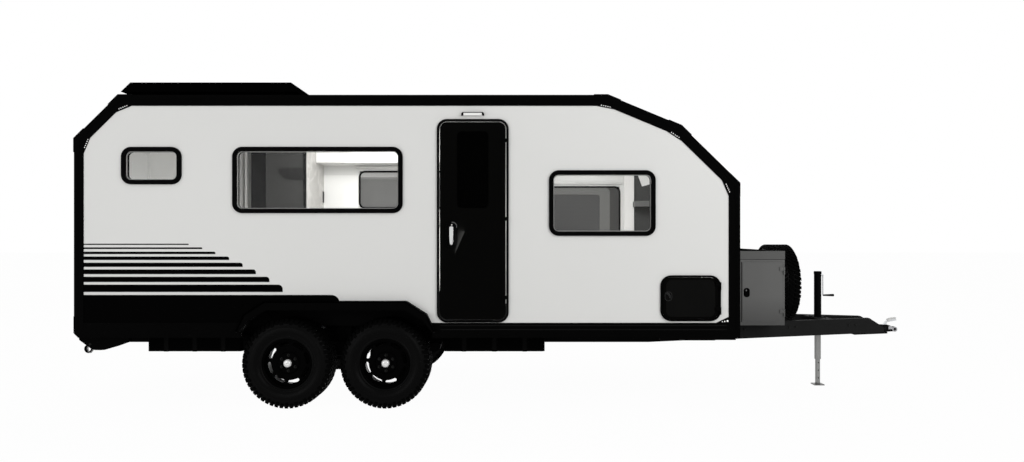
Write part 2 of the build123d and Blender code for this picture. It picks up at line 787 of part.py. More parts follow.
damper_radius, damper_eye, damper_lean, damper_top_z = 20, 24, 190, 680
damper_low_z = tyre_radius + 20
with BuildPart() as dampers:
    for name, side, x in wheel_places:
        damper_y = (rail_y + rail_width / 2 + arm_inner_y) / 2
        low = Vector(x + 20, toward[side] * damper_y, damper_low_z)
        high = Vector(x + 20 + damper_lean, toward[side] * damper_y, damper_top_z)
        with BuildSketch(Plane(origin=low, x_dir=(0, 1, 0), z_dir=high - low)):
            Circle(damper_radius)
        extrude(amount=(high - low).length)
        for end in (low, high):
            with BuildSketch(side_plane(side, arm_inner_y, hanger_reach)):
                with Locations((end.X, end.Z)):
                    Circle(damper_eye)
            extrude(amount=hanger_reach)
save(dampers.part, "dampers")

# ---------------------------------------------------------------- wheels
rim_half = 105
disc_back, disc_sheet = 45, 10
pad_radius = 84
hub_radius, hub_back = 62, -62
drum_radius, drum_back, drum_front = 165, -62, -2
axle_fit = 0.4
cap_radius, cap_rise = 46, 57

# Wheel shapes are drawn about +Z, which points out of the vehicle
with BuildPart() as wheel_disc:
    with BuildSketch(Plane.XZ):
        with BuildLine():
            Polyline(
                (rim_radius - rim_sheet, -rim_half - rim_sheet),
                (rim_radius + rim_flange, -rim_half - rim_sheet),
                (rim_radius + rim_flange, -rim_half),
                (rim_radius, -rim_half),
                (rim_radius, rim_half),
                (rim_radius + rim_flange, rim_half),
                (rim_radius + rim_flange, rim_half + rim_sheet),
                (rim_radius - rim_sheet, rim_half + rim_sheet),
                close=True,
            )
        make_face()
    revolve(axis=Axis.Z)
    with BuildSketch(Plane.XY.offset(disc_back)):
        Circle(rim_radius - rim_sheet)
        Circle(hub_bore, mode=Mode.SUBTRACT)
        with PolarLocations(stud_ring / 2, stud_count):
            Circle(stud_radius, mode=Mode.SUBTRACT)
        with PolarLocations(slot_ring, slot_count):
            SlotOverall(slot_length, slot_width, rotation=90, mode=Mode.SUBTRACT)
    extrude(amount=disc_sheet)

with BuildPart() as wheel_hub:
    with BuildSketch(Plane.XY.offset(hub_back)):
        Circle(hub_radius)
    extrude(amount=disc_back - hub_back)
    with BuildSketch(Plane.XY.offset(drum_back)):
        Circle(drum_radius)
    extrude(amount=drum_front - drum_back)
    with BuildSketch(Plane.XY.offset(disc_back)):
        Circle(hub_bore)
    extrude(amount=disc_sheet)
    with BuildSketch(Plane.XY.offset(disc_back + disc_sheet)):
        Circle(cap_radius)
    extrude(amount=cap_rise)
    with BuildSketch(Plane.XY.offset(hub_back)):
        Circle(axle_radius + axle_fit)
    extrude(amount=disc_back - hub_back, mode=Mode.SUBTRACT)

tyre_half = tyre_width / 2
sidewall_rise = 62
# steps of the shoulder: in from the tread, in from the side
shoulder_drop, shoulder_side, tread_side = 18, 12, 22
with BuildPart() as tyre_shape:
    with BuildSketch(Plane.XZ):
        with BuildLine():
            Polyline(
                (rim_radius, -rim_half),
                (rim_radius + rim_flange, -rim_half),
                (rim_radius + sidewall_rise, -tyre_half),
                (tyre_radius - sidewall_rise, -tyre_half),
                (tyre_radius - shoulder_drop, -tyre_half + shoulder_side),
                (tyre_radius, -tyre_half + tread_side),
                (tyre_radius, tyre_half - tread_side),
                (tyre_radius - shoulder_drop, tyre_half - shoulder_side),
                (tyre_radius - sidewall_rise, tyre_half),
                (rim_radius + sidewall_rise, tyre_half),
                (rim_radius + rim_flange, rim_half),
                (rim_radius, rim_half),
                close=True,
            )
        make_face()
    revolve(axis=Axis.Z)

for name, side, x in wheel_places:
    place = Plane(
        origin=(x, toward[side] * wheel_y, tyre_radius), x_dir=(1, 0, 0), z_dir=(0, toward[side], 0)
    )
    with BuildPart() as rim:
        with Locations(place.location):
            add(wheel_disc.part)
            add(wheel_hub.part)
    save(rim.part, f"wheel_rim_{name}")
    with BuildPart() as tyre:
        with Locations(place.location):
            add(tyre_shape.part)
    save(tyre.part, f"tyre_{name}")

# ---------------------------------------------------------------- front box
box_rear_x, box_front_x = body_front_x, body_front_x + box_depth
box_mid_x = (box_rear_x + box_front_x) / 2
box_hole_x, box_hole_z = box_rear_x + 322, 1020
box_hole_width, box_hole_height, box_hole_radius = 387, 570, 20
side_leaf_depth = 20
box_pin_gap = 6
box_pin_x = box_hole_x + box_hole_width / 2 + box_pin_gap
box_hinges = (-200, 200)
with BuildPart() as front_box:
    with BuildSketch(Plane.XY.offset(floor_z)):
        with Locations((box_mid_x, 0)):
            Rectangle(box_depth, 2 * box_half_width)
    extrude(amount=box_high_z - floor_z)
    with BuildSketch(Plane.XY.offset(floor_z + box_sheet)):
        with Locations((box_mid_x, 0)):
            Rectangle(box_depth - 2 * box_sheet, 2 * (box_half_width - box_sheet))
    extrude(amount=box_high_z - floor_z - 2 * box_sheet, mode=Mode.SUBTRACT)
    with BuildSketch(Plane.XZ.offset(-box_half_width)):
        with Locations((box_hole_x, box_hole_z)):
            RectangleRounded(box_hole_width, box_hole_height, box_hole_radius)
    extrude(amount=2 * box_half_width, mode=Mode.SUBTRACT)
    for side in ("right", "left"):
        for rise in box_hinges:
            add(fixed_knuckle(side, box_pin_x, box_hole_z + rise, box_half_width))
save(front_box.part, "front_box")

box_leaf_face = box_half_width + leaf_proud
for side in ("right", "left"):
    with BuildPart() as box_door:
        with BuildSketch(side_plane(side, box_leaf_face, side_leaf_depth)):
            with Locations((box_hole_x, box_hole_z)):
                RectangleRounded(
                    box_hole_width - 2 * leaf_gap, box_hole_height - 2 * leaf_gap, box_hole_radius - leaf_gap
                )
        extrude(amount=side_leaf_depth)
        for rise in box_hinges:
            edge_x = box_hole_x + box_hole_width / 2 - leaf_gap
            add(leaf_knuckle(side, box_pin_x, box_hole_z + rise, box_half_width, edge_x, box_leaf_face))
    save(box_door.part, f"box_door_{side}")

# ---------------------------------------------------------------- spare wheel
carrier_sheet, carrier_half, carrier_radius = 12, 100, 60
carrier_x = box_front_x + 2
with BuildPart() as spare_carrier:
    with BuildSketch(Plane.YZ.offset(carrier_x)):
        with Locations((0, spare_z)):
            Circle(carrier_half)
        with Locations((0, (spare_z + floor_z) / 2)):
            Rectangle(2 * carrier_half, spare_z - floor_z)
    extrude(amount=carrier_sheet)
    with BuildSketch(Plane.YZ.offset(carrier_x + carrier_sheet)):
        with Locations((0, spare_z)):
            Circle(carrier_radius)
    extrude(amount=spare_x + disc_back - carrier_x - carrier_sheet)
save(spare_carrier.part, "spare_carrier")

spare_place = Plane(origin=(spare_x, 0, spare_z), x_dir=(0, 1, 0), z_dir=(1, 0, 0))
with BuildPart() as spare_rim:
    with Locations(spare_place.location):
        add(wheel_disc.part)
save(spare_rim.part, "spare_rim")
with BuildPart() as spare_tyre:
    with Locations(spare_place.location):
        add(tyre_shape.part)
save(spare_tyre.part, "spare_tyre")

# ---------------------------------------------------------------- jack
jack_tube_low_z = 545
jack_cap, jack_plate_length, jack_plate_width, jack_plate_sheet = 6, 140, 110, 10
leg_step_z, leg_top_z, inner_leg_radius = 268, 800, 24
jack_foot_size, foot_sheet = 104, 10
with BuildPart() as jack_tube:
    with BuildSketch(Plane.XY.offset(jack_tube_low_z)):
        with Locations((jack_x, 0)):
            Circle(jack_tube_radius)
            Circle(jack_tube_radius - jack_tube_wall, mode=Mode.SUBTRACT)
    extrude(amount=jack_top_z - jack_tube_low_z)
    with BuildSketch(Plane.XY.offset(jack_top_z)):
        with Locations((jack_x, 0)):
            Circle(jack_tube_radius)
    extrude(amount=-jack_cap)
    with BuildSketch(Plane.XY.offset(floor_z)):
        with Locations((jack_x, 0)):
            Rectangle(jack_plate_length, jack_plate_width)
            Circle(jack_tube_radius - jack_tube_wall, mode=Mode.SUBTRACT)
    extrude(amount=jack_plate_sheet)
save(jack_tube.part, "jack_tube")

crank_z, crank_drop, crank_stand, crank_radius = 1146, 216, 55, 8
grip_length, grip_radius = 115, 14
with BuildPart() as jack_crank:
    with BuildSketch(Plane.YZ.offset(jack_x + jack_tube_radius)):
        with Locations((0, crank_z)):
            Circle(crank_radius)
    extrude(amount=crank_stand - jack_tube_radius + crank_radius)
    with BuildSketch(Plane.XY.offset(crank_z - crank_drop)):
        with Locations((jack_x + crank_stand, 0)):
            Circle(crank_radius)
    extrude(amount=crank_drop)
    with BuildSketch(Plane.YZ.offset(jack_x + crank_stand)):
        with Locations((0, crank_z - crank_drop)):
            Circle(grip_radius)
    extrude(amount=grip_length)
save(jack_crank.part, "jack_crank")

with BuildPart() as jack_leg:
    with BuildSketch(Plane.XY.offset(leg_step_z)):
        with Locations((jack_x, 0)):
            Circle(jack_tube_radius - jack_tube_wall - jack_leg_fit)
    extrude(amount=leg_top_z - leg_step_z)
    with BuildSketch():
        with Locations((jack_x, 0)):
            Circle(inner_leg_radius)
    extrude(amount=leg_step_z)
    with BuildSketch():
        with Locations((jack_x, 0)):
            Rectangle(jack_foot_size, jack_foot_size)
    extrude(amount=foot_sheet)
save(jack_leg.part, "jack_leg")

# ---------------------------------------------------------------- roof deck
deck_rear_x = body_rear_x + deck_rear_gap
deck_front_x = axle_front_x - deck_axle_gap
deck_x = (deck_rear_x + deck_front_x) / 2
deck_length = deck_front_x - deck_rear_x
deck_low_z = roof_z + deck_gap
foot_size, foot_from_end, foot_from_side = 120, 200, 150


def deck_block(depth):
    """Solid of the deck's outer shape, moved in by a depth on every face but its open foot."""
    with BuildPart() as block:
        with BuildSketch(Plane.XY.offset(deck_low_z)):
            with Locations((deck_x, 0)):
                Rectangle(deck_length - 2 * depth, 2 * (deck_half_width - depth))
        with BuildSketch(Plane.XY.offset(deck_low_z + deck_height - depth)):
            with Locations((deck_x - (deck_taper - deck_rear_taper) / 2, 0)):
                Rectangle(
                    deck_length - deck_taper - deck_rear_taper - 2 * depth,
                    2 * (deck_half_width - deck_taper - depth),
                )
        loft()
    return block.part


with BuildPart() as roof_deck:
    add(deck_block(0))
    add(deck_block(deck_sheet), mode=Mode.SUBTRACT)
    with BuildSketch(Plane.XY.offset(roof_z)):
        with Locations((deck_x, 0)):
            with GridLocations(
                deck_length / 2 - foot_from_end, 2 * (deck_half_width - foot_from_side), 3, 2
            ):
                Rectangle(foot_size, foot_size)
    extrude(amount=deck_gap + deck_height - deck_sheet)
save(roof_deck.part, "roof_deck")

# ---------------------------------------------------------------- lamps and plate at the rear
tail_from_side, tail_z, tail_width, tail_height, tail_depth, tail_corner = 145, 960, 100, 320, 28, 20
high_lamp_drop, high_lamp_width, high_lamp_height, high_lamp_corner = 114, 320, 34, 10
tail_y = half_width - tail_from_side
with BuildPart() as tail_lamps:
    with BuildSketch(Plane.YZ.offset(body_rear_x - tail_depth)):
        with Locations((-tail_y, tail_z), (tail_y, tail_z)):
            RectangleRounded(tail_width, tail_height, tail_corner)
        with Locations((0, roof_z - rear_slope_drop - high_lamp_drop)):
            RectangleRounded(high_lamp_width, high_lamp_height, high_lamp_corner)
    extrude(amount=tail_depth)
save(tail_lamps.part, "tail_lamps")

plate_z, number_width, number_height, number_sheet, number_corner = 860, 372, 134, 6, 8
with BuildPart() as number_plate:
    with BuildSketch(Plane.YZ.offset(body_rear_x - number_sheet)):
        with Locations((0, plate_z)):
            RectangleRounded(number_width, number_height, number_corner)
    extrude(amount=number_sheet)
save(number_plate.part, "number_plate")

# ---------------------------------------------------------------- inside the cabin
ceiling_z = roof_z - wall


def cabinets(*boxes):
    """Plain cupboards, each given as its low and its high corner."""
    with BuildPart() as group:
        for low, high in boxes:
            with BuildSketch(Plane.XY.offset(low[2])):
                with Locations(((low[0] + high[0]) / 2, (low[1] + high[1]) / 2)):
                    Rectangle(high[0] - low[0], high[1] - low[1])
            extrude(amount=high[2] - low[2])
    return group.part


# Cupboards and bench run forward from the tall unit along the left wall
unit_front_x = axle_front_x - 1093
unit_window_gap, unit_past_bench = 72, 200
unit_rear_x = rear_window_x + rear_window_width / 2 + blind_lap + unit_window_gap
locker_depth, locker_low_z = 345, 2376
bench_depth, bench_top_z = 560, 1645
locker_front_x = axle_front_x + 427
bench_front_x = axle_front_x + 957
locker_y, bench_y = inner_half - locker_depth, inner_half - bench_depth
unit_y = bench_y - unit_past_bench
unit = ((unit_rear_x, unit_y, well_top_z), (unit_front_x, inner_half, ceiling_z))
locker = ((unit_front_x, locker_y, locker_low_z), (locker_front_x, inner_half, ceiling_z))
bench = ((unit_front_x, bench_y, well_top_z), (bench_front_x, inner_half, bench_top_z))
save(cabinets(locker), "overhead_locker")
save(cabinets(bench), "kitchen_bench")
save(cabinets(unit), "wardrobe")

# Partition of the washroom, from the rear wall forward, under the slope and the ceiling
washroom_y, washroom_sheet, washroom_length = 190, 24, 968
inner_line = inset(outline, wall)
washroom_front_x = inner_line[0][0] + washroom_length
with BuildPart() as washroom_wall:
    with BuildSketch(side_plane("left", washroom_y + washroom_sheet, washroom_sheet)):
        with BuildLine():
            Polyline(
                (inner_line[0][0], floor_top_z),
                *inner_line[1:3],
                (washroom_front_x, ceiling_z),
                (washroom_front_x, floor_top_z),
                close=True,
            )
        make_face()
    extrude(amount=washroom_sheet)
save(washroom_wall.part, "washroom_wall")

# Two facing seats on the left, with the table between them
seat_top_z, seat_depth, seat_gap, seat_right_y = 1195, 520, 44, -200
front_seat_x = body_front_x - wall - seat_gap
seat_between = 650
rear_seat_x = front_seat_x - seat_depth - seat_between
table_gap, table_right_y, table_top_z, table_sheet = 80, 60, 1458, 28
leg_size, leg_y = 80, 500
table_x = front_seat_x - seat_depth - seat_between / 2
seats = [
    ((front_x - seat_depth, seat_right_y, floor_top_z), (front_x, inner_half, seat_top_z))
    for front_x in (rear_seat_x, front_seat_x)
]
table_half = seat_between / 2 - table_gap
top = (
    (table_x - table_half, table_right_y, table_top_z - table_sheet),
    (table_x + table_half, inner_half, table_top_z),
)
leg = (
    (table_x - leg_size / 2, leg_y, floor_top_z),
    (table_x + leg_size / 2, leg_y + leg_size, table_top_z - table_sheet),
)
save(cabinets(*seats), "dinette_seats")
save(cabinets(top, leg), "dinette_table")
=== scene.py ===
from math import atan2, cos, dist, hypot, pi, radians, sin, sqrt

import bmesh
import bpy
from mathutils import Matrix, Vector


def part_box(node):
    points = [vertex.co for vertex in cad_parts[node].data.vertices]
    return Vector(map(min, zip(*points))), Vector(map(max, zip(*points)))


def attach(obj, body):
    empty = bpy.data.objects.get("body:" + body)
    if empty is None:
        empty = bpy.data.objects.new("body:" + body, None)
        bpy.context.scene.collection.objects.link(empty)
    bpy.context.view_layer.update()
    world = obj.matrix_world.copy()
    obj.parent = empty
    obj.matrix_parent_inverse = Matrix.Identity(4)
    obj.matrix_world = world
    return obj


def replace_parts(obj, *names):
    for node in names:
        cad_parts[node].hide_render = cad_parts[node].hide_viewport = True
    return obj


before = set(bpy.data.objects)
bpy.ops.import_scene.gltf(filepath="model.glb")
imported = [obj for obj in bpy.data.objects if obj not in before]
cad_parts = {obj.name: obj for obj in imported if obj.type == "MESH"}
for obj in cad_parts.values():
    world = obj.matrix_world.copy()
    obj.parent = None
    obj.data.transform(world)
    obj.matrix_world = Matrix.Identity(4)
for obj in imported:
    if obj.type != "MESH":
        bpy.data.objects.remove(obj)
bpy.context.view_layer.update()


# -------- chassis and drawbar
# Two box rails, crossmembers and a drawbar of welded rectangular tube, sprayed black after
# welding. A row of hexagon bolts holds the drawbar's plates, and the rear bar is bolted on.
def feed(tree, target, values):
    """Sets or links a node's inputs, given by name or number."""
    for key, value in values.items():
        if isinstance(value, bpy.types.NodeSocket):
            tree.links.new(value, target.inputs[key])
        else:
            target.inputs[key].default_value = value


def node(tree, kind, **values):
    """New shader node fed its inputs, an underscore in a name standing for a space."""
    fresh = tree.nodes.new("ShaderNode" + kind)
    feed(tree, fresh, {name.replace("_", " "): value for name, value in values.items()})
    return fresh


def blended(tree, share, one, two):
    """Socket of a colour between two, mixed by a share."""
    blend = node(tree, "Mix")
    blend.data_type = "RGBA"
    feed(tree, blend, {0: share, 6: one, 7: two})
    return blend.outputs[2]


def coating(name, tone, rough=0.5, shine=0.5, mottle=0.15, patch=5.0, peel=0.1, peel_size=220.0,
            metal=0.0):
    """Sprayed, moulded or plated finish: mottled tone, uneven gloss and a fine texture."""
    colour = tone if isinstance(tone, tuple) else (tone, tone, tone)
    finish = bpy.data.materials.new(name)
    finish.use_nodes = True
    tree = finish.node_tree
    place = node(tree, "TexCoord").outputs["Object"]
    cloud = node(tree, "TexNoise", Vector=place, Scale=patch, Detail=6.0).outputs["Fac"]
    grain = node(tree, "TexNoise", Vector=place, Scale=peel_size).outputs["Fac"]
    gloss = node(tree, "MapRange", Value=cloud, To_Min=rough * 0.85, To_Max=min(rough * 1.15, 1.0))
    relief = node(tree, "Bump", Height=grain, Strength=peel, Distance=0.001)
    dark, light = [(*[min(c * by, 1.0) for c in colour], 1) for by in (1 - mottle, 1 + mottle)]
    feed(tree, tree.nodes["Principled BSDF"],
         {"Base Color": blended(tree, cloud, dark, light), "Roughness": gloss.outputs["Result"],
          "Normal": relief.outputs["Normal"], "Metallic": metal, "Specular IOR Level": shine})
    return finish


def soften(piece, width, angle):
    """Bevels the edges that turn by more than an angle."""
    soft = piece.modifiers.new("soft edges", "BEVEL")
    soft.width, soft.segments = width, 2
    soft.limit_method, soft.angle_limit = "ANGLE", radians(angle)


def dress(finish, *names, edge=0.0):
    """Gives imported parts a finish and, where edge is set, softened edges."""
    for name in names:
        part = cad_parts[name]
        if not part.material_slots:
            part.data.materials.append(finish)
        for place in part.material_slots:
            place.material = finish
        if edge:
            soften(part, edge, 40)


def placed(name, data):
    """New object, linked into the scene."""
    piece = bpy.data.objects.new(name, data)
    bpy.context.scene.collection.objects.link(piece)
    return piece


def meshed(name, shape):
    """Object made of a shape, its faces turned outward."""
    bmesh.ops.recalc_face_normals(shape, faces=shape.faces)
    mesh = bpy.data.meshes.new(name)
    shape.to_mesh(mesh)
    shape.free()
    return placed(name, mesh)


def made(name, shape, finish, body="caravan", edge=0.0, smooth=False):
    """Turns a shape into a piece that rides on a body."""
    piece = meshed(name, shape)
    piece.data.materials.append(finish)
    for face in piece.data.polygons:
        face.use_smooth = smooth
    if edge:
        soften(piece, edge, 35)
    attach(piece, body)
    return piece


def polar(radius, angle, height):
    """Point beside a Z axis."""
    return Vector((radius * cos(angle), radius * sin(angle), height))


def turned(shape, profile, place, steps=32):
    """Lathe work: a closed run of (radius, height) turned about the place's Z axis."""
    rows = [[shape.verts.new(place @ polar(r, 2 * pi * i / steps, h)) for r, h in profile]
            for i in range(steps)]
    for i in range(steps):
        one, two = rows[i - 1], rows[i]
        for j in range(len(profile)):
            k = (j + 1) % len(profile)
            shape.faces.new((one[j], two[j], two[k], one[k]))


def hex_bolt(shape, centre, out, size=0.012, rise=0.008):
    """Hexagon bolt head with its washer, facing out."""
    place = Matrix.Translation(centre) @ Vector(out).to_track_quat("Z", "Y").to_matrix().to_4x4()
    washer = [(0.0005, 0), (size * 1.25, 0), (size * 1.25, rise * 0.25), (0.0005, rise * 0.25)]
    turned(shape, washer, place, 16)
    head = [(0.0005, rise * 0.25), (size, rise * 0.25), (size, rise * 0.85), (size * 0.8, rise),
            (0.0005, rise)]
    turned(shape, head, place, 6)


chassis_black = coating("chassis_black", 0.0016, rough=0.6, shine=0.02)
drawbar_black = coating("drawbar_black", 0.011, rough=0.55, shine=0.03)
dress(chassis_black, "chassis_rails", "crossmembers", "rear_bar", edge=0.003)
dress(drawbar_black, "drawbar", edge=0.003)

rail_y, rail_end_x, apex_x = 0.6, 1.93, 3.985
bar_rear_x = -3.9845


def drawbar_y(x):
    """Distance of a drawbar rail's middle line from the centre."""
    return rail_y * (apex_x - x) / (apex_x - rail_end_x)


bolt_black = coating("bolt_black", (0.01, 0.01, 0.0098), shine=0.05, mottle=0.3, patch=40)
bolts = bmesh.new()
lean = atan2(rail_y, apex_x - rail_end_x)
for side in (-1, 1):
    for x in (2.16, 2.24, 2.72, 2.8, 3.4, 3.48):
        hex_bolt(bolts, (x, side * (drawbar_y(x) + 0.0255 / cos(lean)), 0.64),
                 (sin(lean), side * cos(lean), 0))
for y in (-0.62, -0.58, 0.58, 0.62):
    hex_bolt(bolts, (bar_rear_x, y, 0.63), (-1, 0, 0), size=0.011, rise=0.0004)
made("chassis_bolts", bolts, bolt_black)

# -------- coupling
# Cast articulated coupling on a keel plate: a dark shank, a steel eye in a grey sleeve and a
# plated locking lever with a dark grip. Two hexagon bolts cross the shank.
eye_x, eye_z = 3.949, 0.579
zinc = coating("zinc", (0.52, 0.53, 0.54), rough=0.32, metal=1.0, mottle=0.12, patch=30)
cast_iron = coating("cast_iron", 0.0045, rough=0.62, shine=0.04, peel=0.35)
sleeve_grey = coating("sleeve_grey", (0.33, 0.33, 0.34), rough=0.4, metal=0.7)
dress(cast_iron, "coupling", edge=0.003)
dress(zinc, "coupling_lever", edge=0.002)
across = Matrix.Rotation(radians(90), 4, "X")
sleeve = bmesh.new()
for side in (-1, 1):
    turned(sleeve, [(0.0145, -0.0012), (0.025, -0.0012), (0.0262, 0.0), (0.025, 0.0012), (0.0145, 0.0012)],
           Matrix.Translation((eye_x, side * 0.031, eye_z)) @ across, 40)
made("coupling_sleeve", sleeve, sleeve_grey)


def plate(shape, outline, one, two, behind=False):
    """Flat plate between two distances across, or along where its outline is seen from behind."""
    near, far = [[shape.verts.new((depth, a, z) if behind else (a, depth, z)) for a, z in outline]
                 for depth in (one, two)]
    shape.faces.new(near)
    shape.faces.new(far[::-1])
    for i, point in enumerate(near):
        shape.faces.new((near[i - 1], far[i - 1], far[i], point))


def plated(name, finish, outline, one, two, **more):
    """Piece that is one flat plate."""
    shape = bmesh.new()
    plate(shape, outline, one, two)
    return made(name, shape, finish, **more)


handle_zinc = coating("handle_zinc", (0.52, 0.52, 0.51), metal=0.2, mottle=0.15, patch=40)
plated("coupling_handle", handle_zinc,
       [(3.878, 0.66), (3.882, 0.682), (3.905, 0.692), (3.935, 0.697), (3.972, 0.701),
        (3.975, 0.692), (3.945, 0.684), (3.915, 0.676), (3.9, 0.659)], -0.016, 0.016, edge=0.003)
plated("coupling_collar", sleeve_grey,
       [(3.884, 0.577), (3.884, 0.603), (3.9, 0.611), (3.922, 0.609), (3.93, 0.6), (3.926, 0.58)],
       -0.0315, 0.0315, edge=0.003)
bolts = bmesh.new()
for x, z in ((3.745, 0.59), (3.8, 0.588), (3.848, 0.586)):
    for side in (-1, 1):
        hex_bolt(bolts, (x, side * 0.0195, z), (0, side, 0), size=0.011, rise=0.009)
made("coupling_bolts", bolts, bolt_black)

# -------- suspension
# Four trailing arms on hangers under the rails, each with an air spring and a damper. The
# springs are folded rubber bellows between crimped plates, and the arms are painted steel.
axle_x = (-1.157, -2.037)
spring_behind, spring_y, spring_low, spring_high = 0.15, 0.715, 0.46, 0.705
bellows_rubber = coating("bellows_rubber", 0.003, rough=0.7, shine=0.04, peel=0.2)
dress(chassis_black, "suspension_arms", "suspension_hangers", edge=0.002)
dress(zinc, "dampers")
spring_rise, pleat_rise = spring_high - spring_low, 0.076
profile = [(0.0005, 0), (0.052, 0), (0.054, 0.01)]
for pleat in range(3):
    profile += [(0.043 + 0.0125 * sin(pi * i / 8) ** 0.6, 0.014 + pleat * pleat_rise + 0.0085 * i)
                for i in range(9)]
profile += [(0.054, spring_rise - 0.01), (0.052, spring_rise), (0.0005, spring_rise)]
bellows = bmesh.new()
for x in axle_x:
    for side in (-1, 1):
        place = Matrix.Translation((x - spring_behind, side * spring_y, spring_low))
        turned(bellows, profile, place, 40)
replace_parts(made("air_spring_bellows", bellows, bellows_rubber, smooth=True), "air_springs")

# -------- water tanks
# Two flat moulded tanks hung under the rails, each held by three folded straps that are
# bolted up to the chassis.
tank_low, tank_high, tank_half = 0.478, 0.619, 0.88
tank_plastic = coating("tank_plastic", 0.0008, rough=0.7, shine=0.005, peel=0.3)
dress(tank_plastic, "water_tanks", edge=0.008)


def block(shape, low, high):
    """Straight block between two corners."""
    (x0, y0, z0), (x1, y1, z1) = low, high
    plate(shape, [(x0, z0), (x1, z0), (x1, z1), (x0, z1)], y0, y1)


straps = bmesh.new()
for rear_x, front_x in ((-3.398, -2.52), (-0.65, 0.284)):
    for share in (0.2, 0.5, 0.8):
        x = rear_x + share * (front_x - rear_x)
        block(straps, (x - 0.02, -tank_half - 0.002, tank_low - 0.002),
              (x + 0.02, tank_half + 0.002, tank_low + 0.001))
        for side in (-1, 1):
            block(straps, (x - 0.02, side * tank_half, tank_low),
                  (x + 0.02, side * (tank_half + 0.0025), tank_high))
made("tank_straps", straps, chassis_black)

# -------- floor, wheel boxes and rear skirts
# A sandwich floor board with pressed boxes over the wheels. At the rear corners, cut plates
# carry a bow shackle each.
underfloor = coating("underfloor", 0.003, rough=0.75, shine=0.02, mottle=0.25)
trim_black = coating("trim_black", 0.0012, rough=0.55, shine=0.008)
dress(underfloor, "floor_panel", "wheel_boxes")
dress(trim_black, "rear_skirts", edge=0.003)
shackle_x, shackle_z, skirt_y = -3.811, 0.538, 1.095
bow_half_width, bow_half_height, bow_bar = 0.022, 0.039, 0.005
shackle_steel = coating("shackle_steel", 0.2, rough=0.45, metal=0.6, mottle=0.2, patch=40)
shackles, pins = bmesh.new(), bmesh.new()
for side in (-1, 1):
    rows = []
    for i in range(32):
        a = 2 * pi * i / 32
        rows.append([])
        for t in range(8):
            out, rise = bow_bar * cos(t * pi / 4), bow_bar * sin(t * pi / 4)
            rows[-1].append(shackles.verts.new((shackle_x + (bow_half_width + out) * sin(a),
                                                side * (skirt_y - 0.006) + rise,
                                                shackle_z + (bow_half_height + out) * cos(a))))
    for one, two in zip(rows[-1:] + rows, rows):
        for t in range(8):
            shackles.faces.new((one[t - 1], two[t - 1], two[t], one[t]))
    hex_bolt(pins, (shackle_x, side * (skirt_y - 0.001), shackle_z + 0.036), (0, side, 0),
             size=0.009, rise=0.008)
made("recovery_shackles", shackles, shackle_steel, smooth=True)
made("shackle_pins", pins, bolt_black)

# -------- body shell and stripes
# Sandwich panels with a smooth pale composite skin. Black vinyl stripes run forward from the
# rear edge on both sides, over a solid black band that ends at the wheel flare.
skin = coating("composite_skin", (0.672, 0.672, 0.656), rough=0.42, shine=0.3, mottle=0.012,
               patch=1.2, peel=0.03, peel_size=90)
vinyl = coating("stripe_vinyl", 0.0007, rough=0.4, shine=0.004, peel=0.04)
dress(skin, "side_wall_right", "side_wall_left", "rear_wall", "rear_slope", "roof_panel",
      "front_slope", "front_wall")
half_width, vinyl_thick = 1.13, 0.0008
stripe_rear_x = -3.849
# Each stripe's front end, middle height and thickness
stripes = [(-2.91, 1.473, 0.0107), (-2.789, 1.438, 0.0152), (-2.671, 1.396, 0.0224),
           (-2.548, 1.348, 0.0313), (-2.427, 1.2895, 0.0376), (-2.309, 1.2269, 0.042),
           (-2.188, 1.1589, 0.0474), (-2.069, 1.0793, 0.0662)]
band_low, band_step, band_high, band_front_x, arch_x = 0.76, 0.889, 1.0203, -1.56, -1.586


def stripe_outline(front_x, low, high, corner):
    """Straight stripe whose upper front corner is rounded."""
    curve = [(front_x - corner + corner * sin(a), high - corner + corner * cos(a))
             for a in [i * pi / 16 for i in range(9)]]
    return [(front_x, low), (stripe_rear_x, low), (stripe_rear_x, high), *curve]


arch_edge = [(arch_x - 0.618, band_step), (arch_x - 0.78, 0.794), (arch_x - 0.805, band_low)]
band = stripe_outline(band_front_x, band_step, band_high, 0.075)
band = [band[0], *arch_edge, (stripe_rear_x, band_low), *band[2:]]
art = bmesh.new()
for side in (-1, 1):
    for outline in [stripe_outline(front_x, z - thick / 2, z + thick / 2, thick * 0.62)
                    for front_x, z, thick in stripes] + [band]:
        plate(art, outline, side * half_width, side * (half_width + vinyl_thick))
made("side_stripes", art, vinyl)

# -------- edge frames
# Black pressed extrusions cap every edge of the sides. Cast brackets stand proud at each bend
# and at the rear corners, and rows of small bright rivets hold the gussets inside the bends.
skirt_z, roof_z = 0.637, 2.808
body_rear_x, body_front_x = -3.933, 2.019
bends = [(body_rear_x, 2.42), (-3.54, roof_z), (0.837, roof_z), (1.494, 2.535), (body_front_x, 2.022)]
ends = [(body_rear_x, skirt_z), *bends, (body_front_x, skirt_z)]
frame_face = 1.136
rivet_steel = coating("rivet_steel", (0.85, 0.85, 0.84), rough=0.3, metal=0.4, mottle=0.05, patch=60)
dress(trim_black, "edge_frames", edge=0.002)


def toward(one, two, length):
    """Point at a length from one point on the way to another."""
    run = dist(one, two)
    return (one[0] + (two[0] - one[0]) * length / run, one[1] + (two[1] - one[1]) * length / run)


def moved_in(one, two, depth):
    """The line between two points, moved to its right-hand side by a depth."""
    run = dist(one, two)
    nx, nz = (two[1] - one[1]) / run * depth, (one[0] - two[0]) / run * depth
    return (one[0] + nx, one[1] + nz), (two[0] + nx, two[1] + nz)


